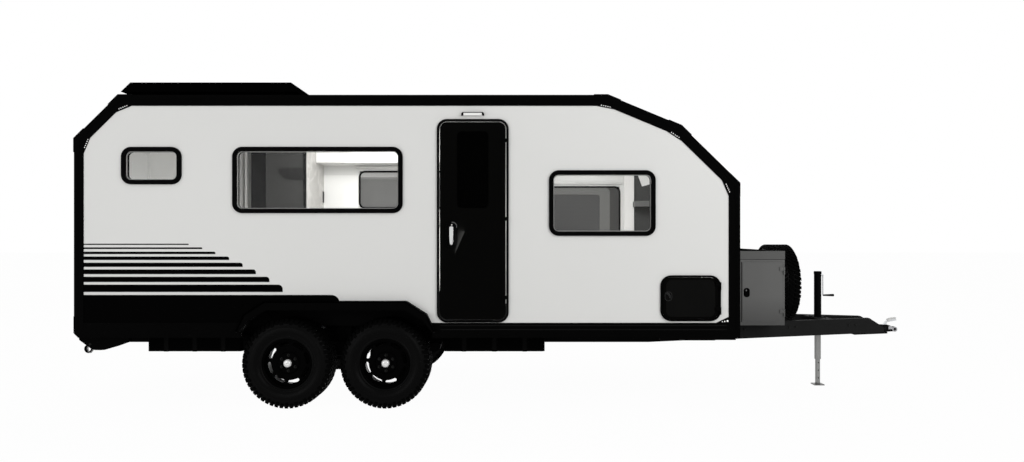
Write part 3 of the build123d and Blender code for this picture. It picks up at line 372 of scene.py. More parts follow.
def crossing(line_one, line_two):
    """Where two lines in side view cross."""
    (x1, z1), (x2, z2) = line_one
    (x3, z3), (x4, z4) = line_two
    d = (x1 - x2) * (z3 - z4) - (z1 - z2) * (x3 - x4)
    a, b = x1 * z2 - z1 * x2, x3 * z4 - z3 * x4
    return ((a * (x3 - x4) - (x1 - x2) * b) / d, (a * (z3 - z4) - (z1 - z2) * b) / d)


def facing(x, y, z, side):
    """Place on a side, its Z axis pointing out of that side."""
    return Matrix.Translation((x, y, z)) @ Matrix.Rotation(-side * pi / 2, 4, "X")


bracket_reach, bracket_proud, nose_proud, bracket_band = 0.125, 0.006, 0.0012, 0.05
rivet_run, rivet_row = 0.09, 0.06
brackets, rivets = bmesh.new(), bmesh.new()
for i in range(1, 6):
    before, bend, after = ends[i - 1], ends[i], ends[i + 1]
    proud = bracket_proud if i < 5 else nose_proud
    outer = [moved_in(before, bend, -proud), moved_in(bend, after, -proud)]
    inner = [moved_in(before, bend, bracket_band), moved_in(bend, after, bracket_band)]
    tip_out, tip_in = crossing(*outer), crossing(*inner)
    outline = [toward(tip_out, outer[0][0], bracket_reach), tip_out,
               toward(tip_out, outer[1][1], bracket_reach),
               toward(tip_in, inner[1][1], bracket_reach), tip_in,
               toward(tip_in, inner[0][0], bracket_reach)]
    line_one, line_two = moved_in(before, bend, rivet_run), moved_in(bend, after, rivet_run)
    seat = crossing(line_one, line_two)
    (x1, z1), (x2, z2) = toward(seat, line_one[0], rivet_row), toward(seat, line_two[1], rivet_row)
    for side in (-1, 1):
        plate(brackets, outline, side * (frame_face + 0.003), side * (half_width - 0.03))
        for share in (0.16, 0.33, 0.5, 0.67, 0.84):
            turned(rivets, [(0.0003, 0), (0.0046, 0), (0.0042, 0.0022), (0.0003, 0.003)],
                   facing(x1 + (x2 - x1) * share, side * frame_face, z1 + (z2 - z1) * share, side), 10)
for side in (-1, 1):
    for x, z, size in ((1.905, 0.788, 0.0095), (1.88, 0.784, 0.0065), (1.858, 0.781, 0.0045)):
        turned(rivets, [(0.0003, 0), (size, 0), (size * 0.9, 0.002), (0.0003, 0.003)],
               facing(x, side * frame_face, z, side), 12)
made("corner_brackets", brackets, trim_black, edge=0.002)
made("gusset_rivets", rivets, rivet_steel)

# The post faces carry a shallow raised rib along their middle; the sills two fine lines painted as
# highlights
ribs, sill_lines = bmesh.new(), bmesh.new()
rib_half, rib_proud, rib_inset, sill_highlight_half = 0.004, 0.0025, 0.034, 0.0045
bend_gap, foot_gap = 0.13, 0.08        # from a rib's end to the frame's bend or foot
for i in range(6):
    line = moved_in(ends[i], ends[i + 1], rib_inset)
    one = toward(*line, bend_gap if i else foot_gap)
    two = toward(*line[::-1], bend_gap if i < 5 else foot_gap)
    low, high = moved_in(one, two, -rib_half), moved_in(one, two, rib_half)[::-1]
    for side in (-1, 1):
        plate(ribs, [*low, *high], side * frame_face, side * (frame_face + rib_proud))
# Painted highlight: two fine raised lines along each sill, coloured lighter than the frame
for z in (0.7115, 0.7475):
    for side in (-1, 1):
        block(sill_lines, (-0.66, side * frame_face, z - sill_highlight_half),
              (1.9, side * (frame_face + rib_proud), z + sill_highlight_half))
made("edge_ribs", ribs, trim_black, edge=0.001)
made("sill_lines", sill_lines, coating("sill_line", 0.0048, shine=0.02), edge=0.001)

# -------- wheel flares
# Moulded flares bolted round each pair of wheels, with a rolled edge along the top where the moulding
# meets the skin, painted lighter as a highlight, and button-head screws through the face.
flare_black = coating("flare_black", 0.0013, rough=0.6, shine=0.006, peel=0.25)
# Painted highlights: the lip is coloured lighter than the flare, and its front diagonal and front leg
# brighter still
flare_edge = coating("flare_edge", 0.0075, rough=0.45, shine=0.06)
flare_lip_front_highlight = coating("flare_edge_worn", 0.017, rough=0.45, shine=0.1, mottle=0.35, patch=30)
dress(flare_black, "wheel_flares", edge=0.006)
flare_face = 1.202


def arched(line):
    """A run of (distance from the arch's middle, height) points, joined to its mirror image."""
    return [(arch_x - run, z) for run, z in line] + [(arch_x + run, z) for run, z in line[::-1]]


lip_band, trim_thick = 0.011, 0.003
lips, screws, trims = (bmesh.new(), bmesh.new()), bmesh.new(), bmesh.new()
outer = arched([(0.883, 0.697), (0.811, 0.8517), (0.6273, 0.968)])
edges = [moved_in(one, two, lip_band) for one, two in zip(outer, outer[1:])]
inner = [edges[0][0], *[crossing(one, two) for one, two in zip(edges, edges[1:])], edges[-1][1]]
cut = arched([(0.858, skirt_z), (0.852, 0.697), (0.78, 0.794), (0.618, 0.889)])
for side in (-1, 1):
    for i in range(len(outer) - 1):
        plate(lips[i > 2], [outer[i], outer[i + 1], inner[i + 1], inner[i]],
              side * (flare_face - 0.004), side * flare_face)
    for x, z in ((-0.56, 0.928), (-0.19, 0.928), (0.19, 0.928), (0.56, 0.928), (-0.75, 0.85), (0.75, 0.85)):
        turned(screws, [(0.0004, 0), (0.009, 0), (0.008, 0.003), (0.0004, 0.0042)],
               facing(arch_x + x, side * (flare_face - 0.0045), z, side), 16)
for one, two in zip(cut, cut[1:]):
    for side in (-1, 1):
        plate(trims, [one, two, *moved_in(one, two, trim_thick)[::-1]], side * 1.1295, side * 1.0955)
made("flare_lip", lips[0], flare_edge)
made("flare_lip_worn", lips[1], flare_lip_front_highlight)
made("flare_screws", screws, flare_black)
made("arch_edge_trims", trims, flare_black)

# -------- windows
# Hinged acrylic windows in black rubber-lined frames. A fine pale line, a painted highlight, shows
# where the inner seal meets the pane; inside, the left windows have black rims, the front one a grey frame.
window_places = {
    "rear_right": (-1, -3.24, 2.175, 0.536, 0.334),
    "middle_right": (-1, -1.756, 2.047, 1.52, 0.592),
    "front_right": (-1, 0.786, 1.841, 0.952, 0.586),
    "rear_left": (1, -3.24, 2.175, 0.536, 0.334),
    "kitchen_left": (1, -1.28, 2.09, 1.1, 0.45),
    "front_left": (1, 0.786, 1.841, 0.952, 0.586),
}
window_band, window_radius, wall_inside_y = 0.04, 0.088, 1.095
frame_rubber = coating("frame_rubber", 0.0012, rough=0.45, shine=0.01, peel=0.12)
seal_grey = coating("seal_grey", (0.34, 0.34, 0.33), shine=0.3)
window_grey = coating("window_grey", (0.138, 0.138, 0.132), rough=0.6, shine=0.2, mottle=0.05)
window_dark = coating("window_dark", (0.05, 0.049, 0.047), rough=0.6, shine=0.2, mottle=0.05)
dress(frame_rubber, "window_frames", edge=0.0025)


def glazing(name, tint, cover, shine=0.3):
    """Acrylic pane: a tint that covers part of the view, with faint ripple and scratches."""
    finish = coating(name, tint, rough=0.05, shine=shine, mottle=0.1, patch=3, peel=0.01, peel_size=12)
    finish.node_tree.nodes["Principled BSDF"].inputs["Alpha"].default_value = cover
    finish.surface_render_method = "BLENDED"
    return finish


clear_acrylic = glazing("clear_acrylic", 0.1, 0.045)
dress(clear_acrylic, "window_panes")


def rounded(x, z, width, height, radius, steps=8):
    """Outline of a rounded rectangle in side view."""
    outline = []
    for turn, (dx, dz) in enumerate(((1, 1), (-1, 1), (-1, -1), (1, -1))):
        for i in range(steps + 1):
            a = pi / 2 * (turn + i / steps)
            outline.append((x + dx * (width / 2 - radius) + radius * cos(a),
                            z + dz * (height / 2 - radius) + radius * sin(a)))
    return outline


def surround(shape, outer, inner, one, two, behind=False):
    """Closed frame between two outlines of equal count; the distances are those of a plate."""
    rings = [[shape.verts.new((depth, a, z) if behind else (a, depth, z)) for a, z in line]
             for line, depth in ((outer, one), (outer, two), (inner, two), (inner, one))]
    for ring, following in zip(rings, rings[1:] + rings[:1]):
        for i in range(len(outer)):
            shape.faces.new((ring[i - 1], ring[i], following[i], following[i - 1]))


def boxed(name, finish, *corners, **more):
    """Piece made of straight blocks, each between two corners."""
    shape = bmesh.new()
    for low, high in corners:
        block(shape, low, high)
    return made(name, shape, finish, **more)


seal_highlights, liners = bmesh.new(), bmesh.new()
seal_wide, liner_thick, seal_y = 0.007, 0.003, 1.121
for side, x, z, width, height in window_places.values():
    outer, seal, liner = [rounded(x, z, width - 2 * (window_band + by), height - 2 * (window_band + by),
                                  window_radius - window_band - by) for by in (0.0, seal_wide, liner_thick)]
    # Painted highlight: the pale seal strip round each pane is coloured lighter than the rubber
    surround(seal_highlights, outer, seal, side * seal_y, side * (seal_y + 0.0025))
    surround(liners, outer, liner, side * 1.1205, side * (1.0955 if side > 0 else 1.08))
made("window_seals", seal_highlights, seal_grey)
made("window_liners", liners, frame_rubber)

# Inner trims: a black rounded rim round each left pane; round the front left pane, a grey inner frame
# with a dark strip along its front, a painted shadow
left_windows = ("kitchen_left", "front_left", "rear_left")
rims, reveal_shadows, inner_frames = bmesh.new(), bmesh.new(), bmesh.new()
for name in left_windows:
    _, x, z, width, height = window_places[name]
    surround(rims, rounded(x, z, width, height, 0.075), rounded(x, z, width - 0.04, height - 0.04, 0.057),
             wall_inside_y, wall_inside_y - 0.016)
_, x, z, width, height = window_places["front_left"]
hollow_low, hollow_high, middle_high = 0.36, 1.016, 1.136    # inner frame's edges along the caravan
low_x = x - width / 2 + 0.018
reveal = rounded(x, z, width - 0.034, height - 0.034, 0.06)
middle = rounded((low_x + middle_high) / 2, z, middle_high - low_x, height - 0.034, 0.06)
hollow = rounded((hollow_low + hollow_high) / 2, z - 0.0325, hollow_high - hollow_low, height - 0.139, 0.04)
# Painted shadow: the dark strip between the reveal and the inner frame, along the front of the pane
surround(reveal_shadows, reveal, middle, wall_inside_y - 0.002, wall_inside_y - 0.009)
surround(inner_frames, middle, hollow, wall_inside_y - 0.003, wall_inside_y - 0.01)
_, x, z, width, height = window_places["kitchen_left"]
low_x, high_x = x - width / 2 + 0.022, x + width / 2 - 0.022
boxed("blind_head_rail", coating("head_rail_pale", (0.33, 0.33, 0.32), shine=0.3),
      ((low_x, wall_inside_y - 0.01, 2.239), (high_x, wall_inside_y - 0.003, 2.292)))
boxed("blind_head_fold", coating("head_fold_grey", (0.17, 0.17, 0.165), rough=0.6, shine=0.2),
      ((low_x, wall_inside_y - 0.008, 2.215), (high_x, wall_inside_y - 0.003, 2.239)))
made("window_rims", rims, frame_rubber, edge=0.002)
made("window_reveals", reveal_shadows, window_dark, edge=0.001)
made("window_inner_frames", inner_frames, window_grey, edge=0.002)

# -------- window blinds
# Pleated cloth blinds hang behind the left panes from slim cassettes. The right cassettes hold
# their cloth rolled up. A weighted rail runs along the foot of each cloth.
blind_lap, case_high, case_deep = 0.02, 0.036, 0.036
cassette_grey = coating("cassette_white", (0.62, 0.62, 0.6), shine=0.3)


def worked(tree, operation, *numbers):
    """Socket of a sum worked on two numbers."""
    maths = node(tree, "Math")
    maths.operation = operation
    feed(tree, maths, dict(enumerate(numbers)))
    return maths.outputs[0]


def woven(name, colour, size):
    """Cloth with crossing threads and uneven dye."""
    cloth = coating(name, colour, rough=0.9, shine=0.1, mottle=0.1, patch=9, peel=0.35, peel_size=size)
    tree, waves = cloth.node_tree, []
    for axis in "XZ":
        wave = node(tree, "TexWave", Vector=tree.nodes["Texture Coordinate"].outputs["Object"],
                    Scale=size, Distortion=0.4)
        wave.bands_direction = axis
        waves.append(wave.outputs["Fac"])
    relief = node(tree, "Bump", Height=worked(tree, "MAXIMUM", *waves),
                  Normal=tree.nodes["Bump"].outputs["Normal"], Strength=0.5, Distance=0.0006)
    feed(tree, tree.nodes["Principled BSDF"], {"Sheen Weight": 0.15, "Normal": relief.outputs["Normal"]})
    return cloth


blind_cloth = woven("blind_cloth", (0.128, 0.128, 0.125), 900)
# Painted shade: the same cloth coloured darker, for the front left blind
blind_cloth_dark = woven("blind_cloth_dark", (0.078, 0.078, 0.077), 900)
cassettes = bmesh.new()
for side, x, z, width, height in window_places.values():
    half, low_z = width / 2 + blind_lap, z + height / 2 + blind_lap
    profile = [(0.0, 0.0), (0.03, 0.0), (case_deep, 0.008), (case_deep, 0.028), (0.028, case_high),
               (0.0, case_high)]
    plate(cassettes, [(side * (wall_inside_y - deep), low_z + rise) for deep, rise in profile],
          x - half, x + half, behind=True)
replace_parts(made("blind_cassettes", cassettes, cassette_grey, edge=0.002), "window_blinds")
rails = bmesh.new()
rows, columns, cloth_off = 46, 24, 0.0012
for name in left_windows:
    _, x, z, width, height = window_places[name]
    cloth_wide, drop, top_z = width - 0.02, height - 0.012, z + height / 2 - 0.006
    shape, grid = bmesh.new(), []
    for r in range(rows + 1):
        fall = drop * r / rows
        pleat = 0.00024 * sin(2 * pi * r / 4 + 0.3)
        grid.append([])
        for c in range(columns + 1):
            share = c / columns - 0.5
            sway = 0.0002 * sin(5 * share + 2.2 * fall) * fall / drop
            y = wall_inside_y - cloth_off + sway + pleat
            grid[-1].append(shape.verts.new((x + cloth_wide * share, y, top_z - fall)))
    for r in range(rows):
        for c in range(columns):
            shape.faces.new((grid[r][c], grid[r][c + 1], grid[r + 1][c + 1], grid[r + 1][c]))
    # The front left blind takes the darker, painted-shade copy of the cloth
    cloth = blind_cloth_dark if name == "front_left" else blind_cloth
    blind = made(f"blind_{name}", shape, cloth, smooth=True)
    block(rails, (x - cloth_wide / 2, wall_inside_y - 0.008, top_z - drop),
          (x + cloth_wide / 2, wall_inside_y - 0.001, top_z - drop + 0.012))
made("blind_foot_rails", rails, cassette_grey, edge=0.002)

# -------- entry door
# A black moulded door leaf in a black frame. A fine seal line, painted lighter as a highlight, runs
# round the leaf, the window is dark acrylic, and a dished escutcheon carries a polished pull handle
# and a key lock.
door_x, door_z, door_width, door_height = -0.37, 1.683, 0.641, 1.815
leaf_face, frame_face_y = 1.144, 1.148
door_black = coating("door_black", (0.0014, 0.0014, 0.0013), rough=0.6, shine=0.01, peel=0.25)
door_line = coating("door_line", 0.0165, shine=0.05)
escutcheon_highlight_grey = coating("escutcheon_edge", 0.06, rough=0.4, shine=0.2)
polished = coating("polished_steel", (0.6, 0.6, 0.595), rough=0.22, metal=0.55, mottle=0.04, patch=40)
door_acrylic = glazing("door_acrylic", 0.0004, 0.99, 0.003)
dress(frame_rubber, "door_frames", edge=0.0015)
dress(door_black, "entry_door", "hatch_door", edge=0.004)
dress(door_acrylic, "door_window", edge=0.001)
# Painted highlight: a fine lighter line round the leaf, broken at the foot
line = bmesh.new()
sill_z, sill_gap = door_z - door_height / 2, 0.178        # the line is broken at the foot
line_y = (-frame_face_y, -(frame_face_y + 0.0012))
outer = rounded(door_x, door_z, door_width - 0.034, door_height - 0.034, 0.073, 10)
inner = rounded(door_x, door_z, door_width - 0.041, door_height - 0.041, 0.0695, 10)
for i in range(len(outer)):
    (x1, z1), (x2, z2) = outer[i - 1], outer[i]
    if abs(z1 - sill_z) < 0.02 and abs(z2 - z1) < 1e-6:
        for low, high in ((x1, door_x - sill_gap), (door_x + sill_gap, x2)):
            plate(line, [(low, z1), (high, z1), (high, z1 + 0.0035), (low, z1 + 0.0035)], *line_y)
    else:
        plate(line, [outer[i - 1], outer[i], inner[i], inner[i - 1]], *line_y)
made("door_seal_line", line, door_line)

handle_x, handle_z = -0.558, 1.56
dish, arc, bar = bmesh.new(), bmesh.new(), bmesh.new()
surround(dish, rounded(handle_x, handle_z, 0.113, 0.246, 0.05),
         rounded(handle_x, handle_z, 0.098, 0.231, 0.043), -leaf_face, -(leaf_face + 0.007))
plate(dish, rounded(handle_x, handle_z, 0.099, 0.232, 0.044), -leaf_face, -(leaf_face + 0.0015))
# Painted highlight: a lighter arc along the dish's upper right rim
turns = [radians(-8 + 10.8 * i) for i in range(11)]
near, far = [[(handle_x + 0.006 + r * cos(a), handle_z + 0.068 + r * 1.05 * sin(a))
              for a in turns] for r in (0.036, 0.044)]
for i in range(10):
    plate(arc, [near[i], far[i], far[i + 1], near[i + 1]], -(leaf_face + 0.0015), -(leaf_face + 0.0035))
pull = [(-0.0165, 0.074), (-0.008, 0.08), (0.008, 0.08), (0.0165, 0.074), (0.016, 0.0), (0.013, -0.06),
        (0.0105, -0.078), (0.0, -0.084), (-0.0105, -0.078), (-0.014, -0.06), (-0.0165, 0.0)]
plate(bar, [(handle_x + x, handle_z - 0.008 + z) for x, z in pull],
      -(leaf_face + 0.04), -(leaf_face + 0.053))
for rise in (-0.062, 0.058):
    block(bar, (handle_x - 0.008, -(leaf_face + 0.001), handle_z + rise - 0.01),
          (handle_x + 0.008, -(leaf_face + 0.041), handle_z + rise + 0.01))
turned(bar, [(0.0004, 0), (0.0065, 0), (0.0058, 0.0035), (0.0004, 0.0038)],
       facing(handle_x + 0.001, -(leaf_face + 0.0015), handle_z + 0.086, -1), 20)
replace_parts(made("door_escutcheon", dish, frame_rubber, body="entry_door", edge=0.002), "door_handle")
made("door_escutcheon_edge", arc, escutcheon_highlight_grey, body="entry_door")
made("door_pull", bar, polished, body="entry_door", edge=0.003)

# -------- porch lamp over the door
# An opal lens clipped into a low black moulded bracket that is fixed to the wall over the door.
# The bracket has black ends and a thin black hood along its top.
lamp_z = 2.6345
lamp_opal = coating("lamp_opal", (0.86, 0.86, 0.84), rough=0.35, shine=0.4, mottle=0.03, patch=20)
hood = [(-0.103, -0.012), (-0.092, -0.0135), (-0.083, -0.008), (-0.083, 0.0095), (0.083, 0.0095),
        (0.083, -0.008), (0.092, -0.0135), (0.103, -0.012), (0.1, 0.004), (0.09, 0.0145), (-0.09, 0.0145),
        (-0.1, 0.004)]
lens = plated("porch_lamp_lens", lamp_opal, rounded(door_x, lamp_z - 0.0015, 0.166, 0.024, 0.006, 4),
              -1.131, -1.166, edge=0.003)
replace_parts(lens, "door_lamp")
plated("porch_lamp_hood", frame_rubber, [(door_x + x, lamp_z + z) for x, z in hood],
       -1.1305, -1.172, edge=0.001)

# -------- tunnel hatch
# A moulded locker hatch with a raised panel and a turn handle in a round recess at its rear
# edge. Its hinges stand along the front edge.
hatch_x, hatch_z = 1.575, 0.991
hatch_panel = coating("hatch_panel", (0.004, 0.004, 0.0038), rough=0.6, shine=0.01, peel=0.3)
handle_grey = coating("handle_grey", 0.016, rough=0.4, shine=0.1)
turn = bmesh.new()
plated("hatch_raised_panel", hatch_panel, rounded(hatch_x - 0.002, hatch_z, 0.44, 0.33, 0.055),
       -leaf_face, -(leaf_face + 0.0035), body="hatch_door", edge=0.003)
grip_x, grip_z = 1.375, 1.01
surround(turn, rounded(grip_x, grip_z, 0.066, 0.086, 0.032), rounded(grip_x, grip_z, 0.056, 0.076, 0.027),
         -(leaf_face + 0.003), -(leaf_face + 0.008))
paddle = [(-0.018, 0.03), (-0.004, 0.034), (0.01, 0.024), (0.02, 0.0), (0.02, -0.018), (0.01, -0.018),
          (0.004, 0.002), (-0.006, 0.014), (-0.018, 0.018)]
plate(turn, [(grip_x + x, grip_z + z) for x, z in paddle], -(leaf_face + 0.0035), -(leaf_face + 0.011))
made("hatch_turn_handle", turn, handle_grey, body="hatch_door", edge=0.001)

# -------- cabin fittings
# Laminated plywood furniture along the left wall: a dark tall unit with a stone-look side, a
# kitchen bench, white overhead lockers with push catches and a glossy splashback.
cabin_floor_z, ceiling_z = 0.745, 2.773
unit_rear_x, unit_front_x, unit_y, unit_low = -2.88, -2.25, 0.335, 0.945
bench_front_x, bench_y, bench_top = -0.2, 0.535, 1.645
locker_front_x, locker_y, locker_low = -0.73, 0.75, 2.376
laminate_white = coating("laminate_white", (0.86, 0.86, 0.84), rough=0.4, shine=0.4, mottle=0.03, peel=0.03)
laminate_dark = coating("laminate_dark", (0.052, 0.052, 0.05), shine=0.3, mottle=0.12, patch=2.5)
laminate_black = coating("laminate_black", 0.006, shine=0.2)
gloss_white = coating("splashback_gloss", (0.84, 0.84, 0.82), rough=0.15, mottle=0.02)
post_white = coating("post_white", (0.82, 0.81, 0.79), shine=0.3, mottle=0.05)


def overlaid(finish, share, colour):
    """Lays a colour over a finish's own by a share."""
    tree = finish.node_tree
    over = blended(tree, share, tree.nodes["Mix"].outputs[2], (*colour, 1))
    feed(tree, tree.nodes["Principled BSDF"], {"Base Color": over})


def stone(name, colour, vein, size):
    """Printed stone laminate: cloudy tone crossed by soft veins."""
    finish = coating(name, colour, rough=0.4, shine=0.3, mottle=0.22, patch=size, peel=0.04)
    tree = finish.node_tree
    wave = node(tree, "TexWave", Vector=tree.nodes["Texture Coordinate"].outputs["Object"],
                Scale=size * 0.35, Distortion=14.0, Detail=4.0)
    thin = node(tree, "MapRange", Value=wave.outputs["Fac"], From_Min=0.86, To_Max=0.6)
    overlaid(finish, thin.outputs["Result"], vein)
    return finish


stone_grey = stone("stone_laminate", (0.42, 0.41, 0.39), (0.62, 0.61, 0.58), 9)
dress(laminate_white, "overhead_locker", "kitchen_bench", edge=0.003)
dress(laminate_dark, "wardrobe", edge=0.003)
fronts, socket = bmesh.new(), bmesh.new()
locker_z, locker_high = (locker_low + ceiling_z) / 2, ceiling_z - locker_low - 0.008
for front_x, count, z, high, radius, y, thick in (
        (locker_front_x, 3, locker_z, locker_high, 0.006, locker_y, 0.012),
        (bench_front_x, 4, 1.29, 0.64, 0.008, bench_y, 0.014)):
    step = (front_x - unit_front_x) / count
    for i in range(count):
        x = unit_front_x + step * (i + 0.5)
        plate(fronts, rounded(x, z, step - 0.006, high, radius, 3), y, y - thick)
made("locker_fronts", fronts, laminate_white, edge=0.002)
boxed("bench_top", stone_grey, ((unit_front_x, bench_y - 0.015, bench_top),
                                (bench_front_x + 0.01, wall_inside_y, bench_top + 0.022)), edge=0.004)
boxed("splashback", gloss_white, ((unit_front_x, wall_inside_y - 0.004, bench_top + 0.022),
                                  (-1.84, wall_inside_y, 2.262)), edge=0.001)
boxed("tall_unit_side", stone_grey, ((unit_front_x, unit_y + 0.004, 0.94),
                                     (unit_front_x + 0.004, wall_inside_y, ceiling_z)))
boxed("tall_unit_strips", laminate_black, ((-2.846, unit_y - 0.006, unit_low), (-2.688, unit_y, ceiling_z)),
      ((-2.283, unit_y - 0.006, unit_low), (unit_front_x, unit_y, ceiling_z)), edge=0.001)
boxed("tall_unit_door_edge", coating("door_edge_grey", (0.16, 0.16, 0.15), shine=0.3),
      ((unit_rear_x + 0.001, unit_y - 0.01, unit_low), (unit_rear_x + 0.016, unit_y, ceiling_z)),
      ((unit_rear_x + 0.022, unit_y - 0.008, unit_low), (unit_rear_x + 0.03, unit_y, ceiling_z)),
      edge=0.001)
# Painted reflection: a darker patch on the tall unit's front
plated("tall_unit_shade", coating("laminate_shade", (0.01, 0.01, 0.0095), mottle=0.1),
       [(-2.278, 2.15), (-2.278, 2.285), (-2.56, 2.285), (-2.57, 2.262), (-2.5, 2.166), (-2.47, 2.15)],
       unit_y, unit_y - 0.0035)
plate(socket, rounded(1.062, 2.003, 0.05, 0.132, 0.008, 3),
      unit_front_x + 0.004, unit_front_x + 0.01, behind=True)
made("socket_plate", socket, laminate_black, edge=0.001)
boxed("cabin_post", post_white, ((-2.984, 0.352, cabin_floor_z), (-2.925, 0.4, ceiling_z)),
      ((-2.925, 0.335, cabin_floor_z), (-2.884, 0.4, ceiling_z)), edge=0.01)

# -------- dinette
# Two facing bench seats in woven upholstery over ply boxes, with a laminate table between them
# on a square post. The cushions are foam pads in woven covers.
seat_rows = ((0.25, 0.77), (1.42, 1.94))        # rear edge, front edge
seat_box = bmesh.new()
for rear_x, front_x in seat_rows:
    block(seat_box, (rear_x + 0.004, -0.196, cabin_floor_z), (front_x - 0.004, 1.091, 1.068))
    for i in range(2):
        plate(seat_box, rounded((rear_x + front_x) / 2, 0.88, 0.4, 0.2, 0.012, 3), -0.196, -0.199)
made("seat_boxes", seat_box, laminate_white, edge=0.004)
upholstery = woven("upholstery", (0.16, 0.155, 0.145), 900)


def cushion(name, low, high, swell):
    """Foam pad: a rounded block, remeshed, inflated as cloth and capped in how far it moves."""
    shape = bmesh.new()
    block(shape, low, high)
    bmesh.ops.recalc_face_normals(shape, faces=shape.faces)
    bmesh.ops.bevel(shape, geom=shape.edges[:], offset=0.022, segments=3, affect="EDGES", profile=0.6)
    pad, scene = meshed(name, shape), bpy.context.scene
    even = pad.modifiers.new("even mesh", "REMESH")
    even.mode = "VOXEL"
    even.voxel_size = 0.012
    start = bpy.data.meshes.new_from_object(pad.evaluated_get(bpy.context.evaluated_depsgraph_get()))
    pad.modifiers.clear()
    pad.data = start
    rest = [v.co.copy() for v in start.vertices]
    fabric = pad.modifiers.new("fabric", "CLOTH")
    fabric.settings.use_pressure = True
    fabric.settings.uniform_pressure_force = 4
    fabric.settings.effector_weights.gravity = 0
    for step in range(1, 21):
        scene.frame_set(step)
    blown = bpy.data.meshes.new_from_object(pad.evaluated_get(bpy.context.evaluated_depsgraph_get()))
    scene.frame_set(1)
    pad.modifiers.clear()
    for v, was in zip(blown.vertices, rest):
        move = v.co - was
        if move.length > swell:
            v.co = was + move * (swell / move.length)
        v.co.z = max(v.co.z, low[2] - 0.001)
    pad.data = blown
    for face in pad.data.polygons:
        face.use_smooth = True
    soft = pad.modifiers.new("smooth cover", "SUBSURF")
    soft.levels = soft.render_levels = 1
    pad.data.materials.clear()
    pad.data.materials.append(upholstery)
    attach(pad, "caravan")
    return pad


for number, (rear_x, front_x) in enumerate(seat_rows):
    for half, (y_low, y_high) in enumerate(((-0.18, 0.43), (0.45, 1.075))):
        seat = cushion(f"seat_cushion_{number}_{half}", (rear_x + 0.018, y_low, 1.07),
                       (front_x - 0.018, y_high, 1.176), 0.014)
        if number == 0 and half == 0:
            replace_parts(seat, "dinette_seats")
dress(laminate_white, "dinette_table", edge=0.004)

# Niche at the cabin's front: a white post, a dark back panel under the slope of the front, a
# grey shelf, and a white lining folded over the panel's upper corner
niche_x, niche_front_x, niche_low, niche_high = 1.42, 1.9, 1.56, 2.3
niche_face, niche_back = 1.08, 1.0949
niche_dark = coating("niche_laminate", (0.06, 0.06, 0.058), rough=0.6, shine=0.2, mottle=0.12, patch=3)
niche, under_slope = bmesh.new(), [(niche_front_x, 2.066), (1.6, niche_high)]
plate(niche, [(niche_x, niche_low), (niche_front_x, niche_low), *under_slope, (niche_x, niche_high)],
      niche_face, niche_back)
block(niche, (niche_x, niche_face - 0.02, niche_low), (niche_x + 0.016, niche_face, niche_high))
made("niche_panel", niche, niche_dark, edge=0.002)
boxed("niche_shelf", coating("shelf_grey", (0.115, 0.115, 0.112), shine=0.3),
      ((1.404, 0.86, 1.885), (niche_front_x, niche_face, 1.948)), edge=0.003)
boxed("niche_post", post_white, ((1.303, niche_face - 0.02, unit_low), (niche_x, niche_back, 2.42)),
      edge=0.006)
fold = [(1.4676, 2.262), (1.64, 2.262), (1.64, 2.163), (1.613, 2.156), (1.515, 2.128)]
plated("niche_fold", laminate_white, fold, niche_face, niche_face - 0.008, edge=0.002)

# The washroom partition behind the kitchen is white-faced board with a bead in its rear corner
dress(laminate_white, "washroom_wall", edge=0.003)
boxed("washroom_corner_bead", laminate_white, ((-3.8975, 0.19, 0.95), (-3.871, 0.184, 2.35)), edge=0.001)

# -------- roof deck
# A low moulded fairing on feet covers the roof equipment, and screws hold it along its sloping
# sides.
deck_black = coating("deck_black", 0.0007, rough=0.7, shine=0.0, peel=0.3)
dress(deck_black, "roof_deck", edge=0.006)
deck_rear_x, deck_front_x, screw_y, screw_z, screw_inset = -3.585, -1.977, 0.97, 2.9038, 0.16
slope_out, slope_up = 0.818, 0.575        # the way the deck's sloping sides face
screws = bmesh.new()
for side in (-1, 1):
    for i in range(8):
        x = deck_rear_x + screw_inset + i * (deck_front_x - deck_rear_x - 2 * screw_inset) / 7
        hex_bolt(screws, (x, side * screw_y, screw_z), (0, side * slope_out, slope_up), 0.006, 0.004)
made("deck_screws", screws, deck_black)

# -------- rear lamps and number plate
# Upright lamp clusters with a black inner bezel and three chambers, a slim high lamp and a blank
# number plate in a black holder.
lamp_red = coating("lamp_red", (0.3, 0.006, 0.006), rough=0.15, mottle=0.1, patch=60,
                   peel=0.3, peel_size=300)
lamp_amber = coating("lamp_amber", (0.62, 0.2, 0.01), rough=0.15, mottle=0.08, patch=60,
                     peel=0.3, peel_size=300)
plate_blank = coating("plate_blank", (0.7, 0.7, 0.68), rough=0.4, shine=0.3, mottle=0.04, patch=8)
dress(lamp_red, "tail_lamps", edge=0.004)
dress(plate_blank, "number_plate", edge=0.001)
lamp_face_x, lamp_seat_x, plate_face_x = body_rear_x - 0.028, body_rear_x - 0.027, body_rear_x - 0.006
cluster_y, cluster_z = 0.985, 0.96
bezels, ambers, whites, holder = bmesh.new(), bmesh.new(), bmesh.new(), bmesh.new()
for side in (-1, 1):
    y = side * cluster_y
    surround(bezels, rounded(y, cluster_z, 0.098, 0.318, 0.018, 4),
             rounded(y, cluster_z, 0.084, 0.304, 0.012, 4), lamp_face_x, lamp_face_x - 0.003, behind=True)
    for z in (0.912, 1.012):
        plate(bezels, rounded(y, z, 0.086, 0.005, 0.002, 2), lamp_seat_x, lamp_face_x - 0.002, behind=True)
    for chamber, z, high in ((ambers, 1.062, 0.088), (whites, 0.859, 0.09)):
        plate(chamber, rounded(y, z, 0.08, high, 0.008, 3), lamp_seat_x, lamp_face_x - 0.0012, behind=True)
made("tail_lamp_bezels", bezels, frame_rubber, edge=0.001)
made("tail_lamp_ambers", ambers, lamp_amber)
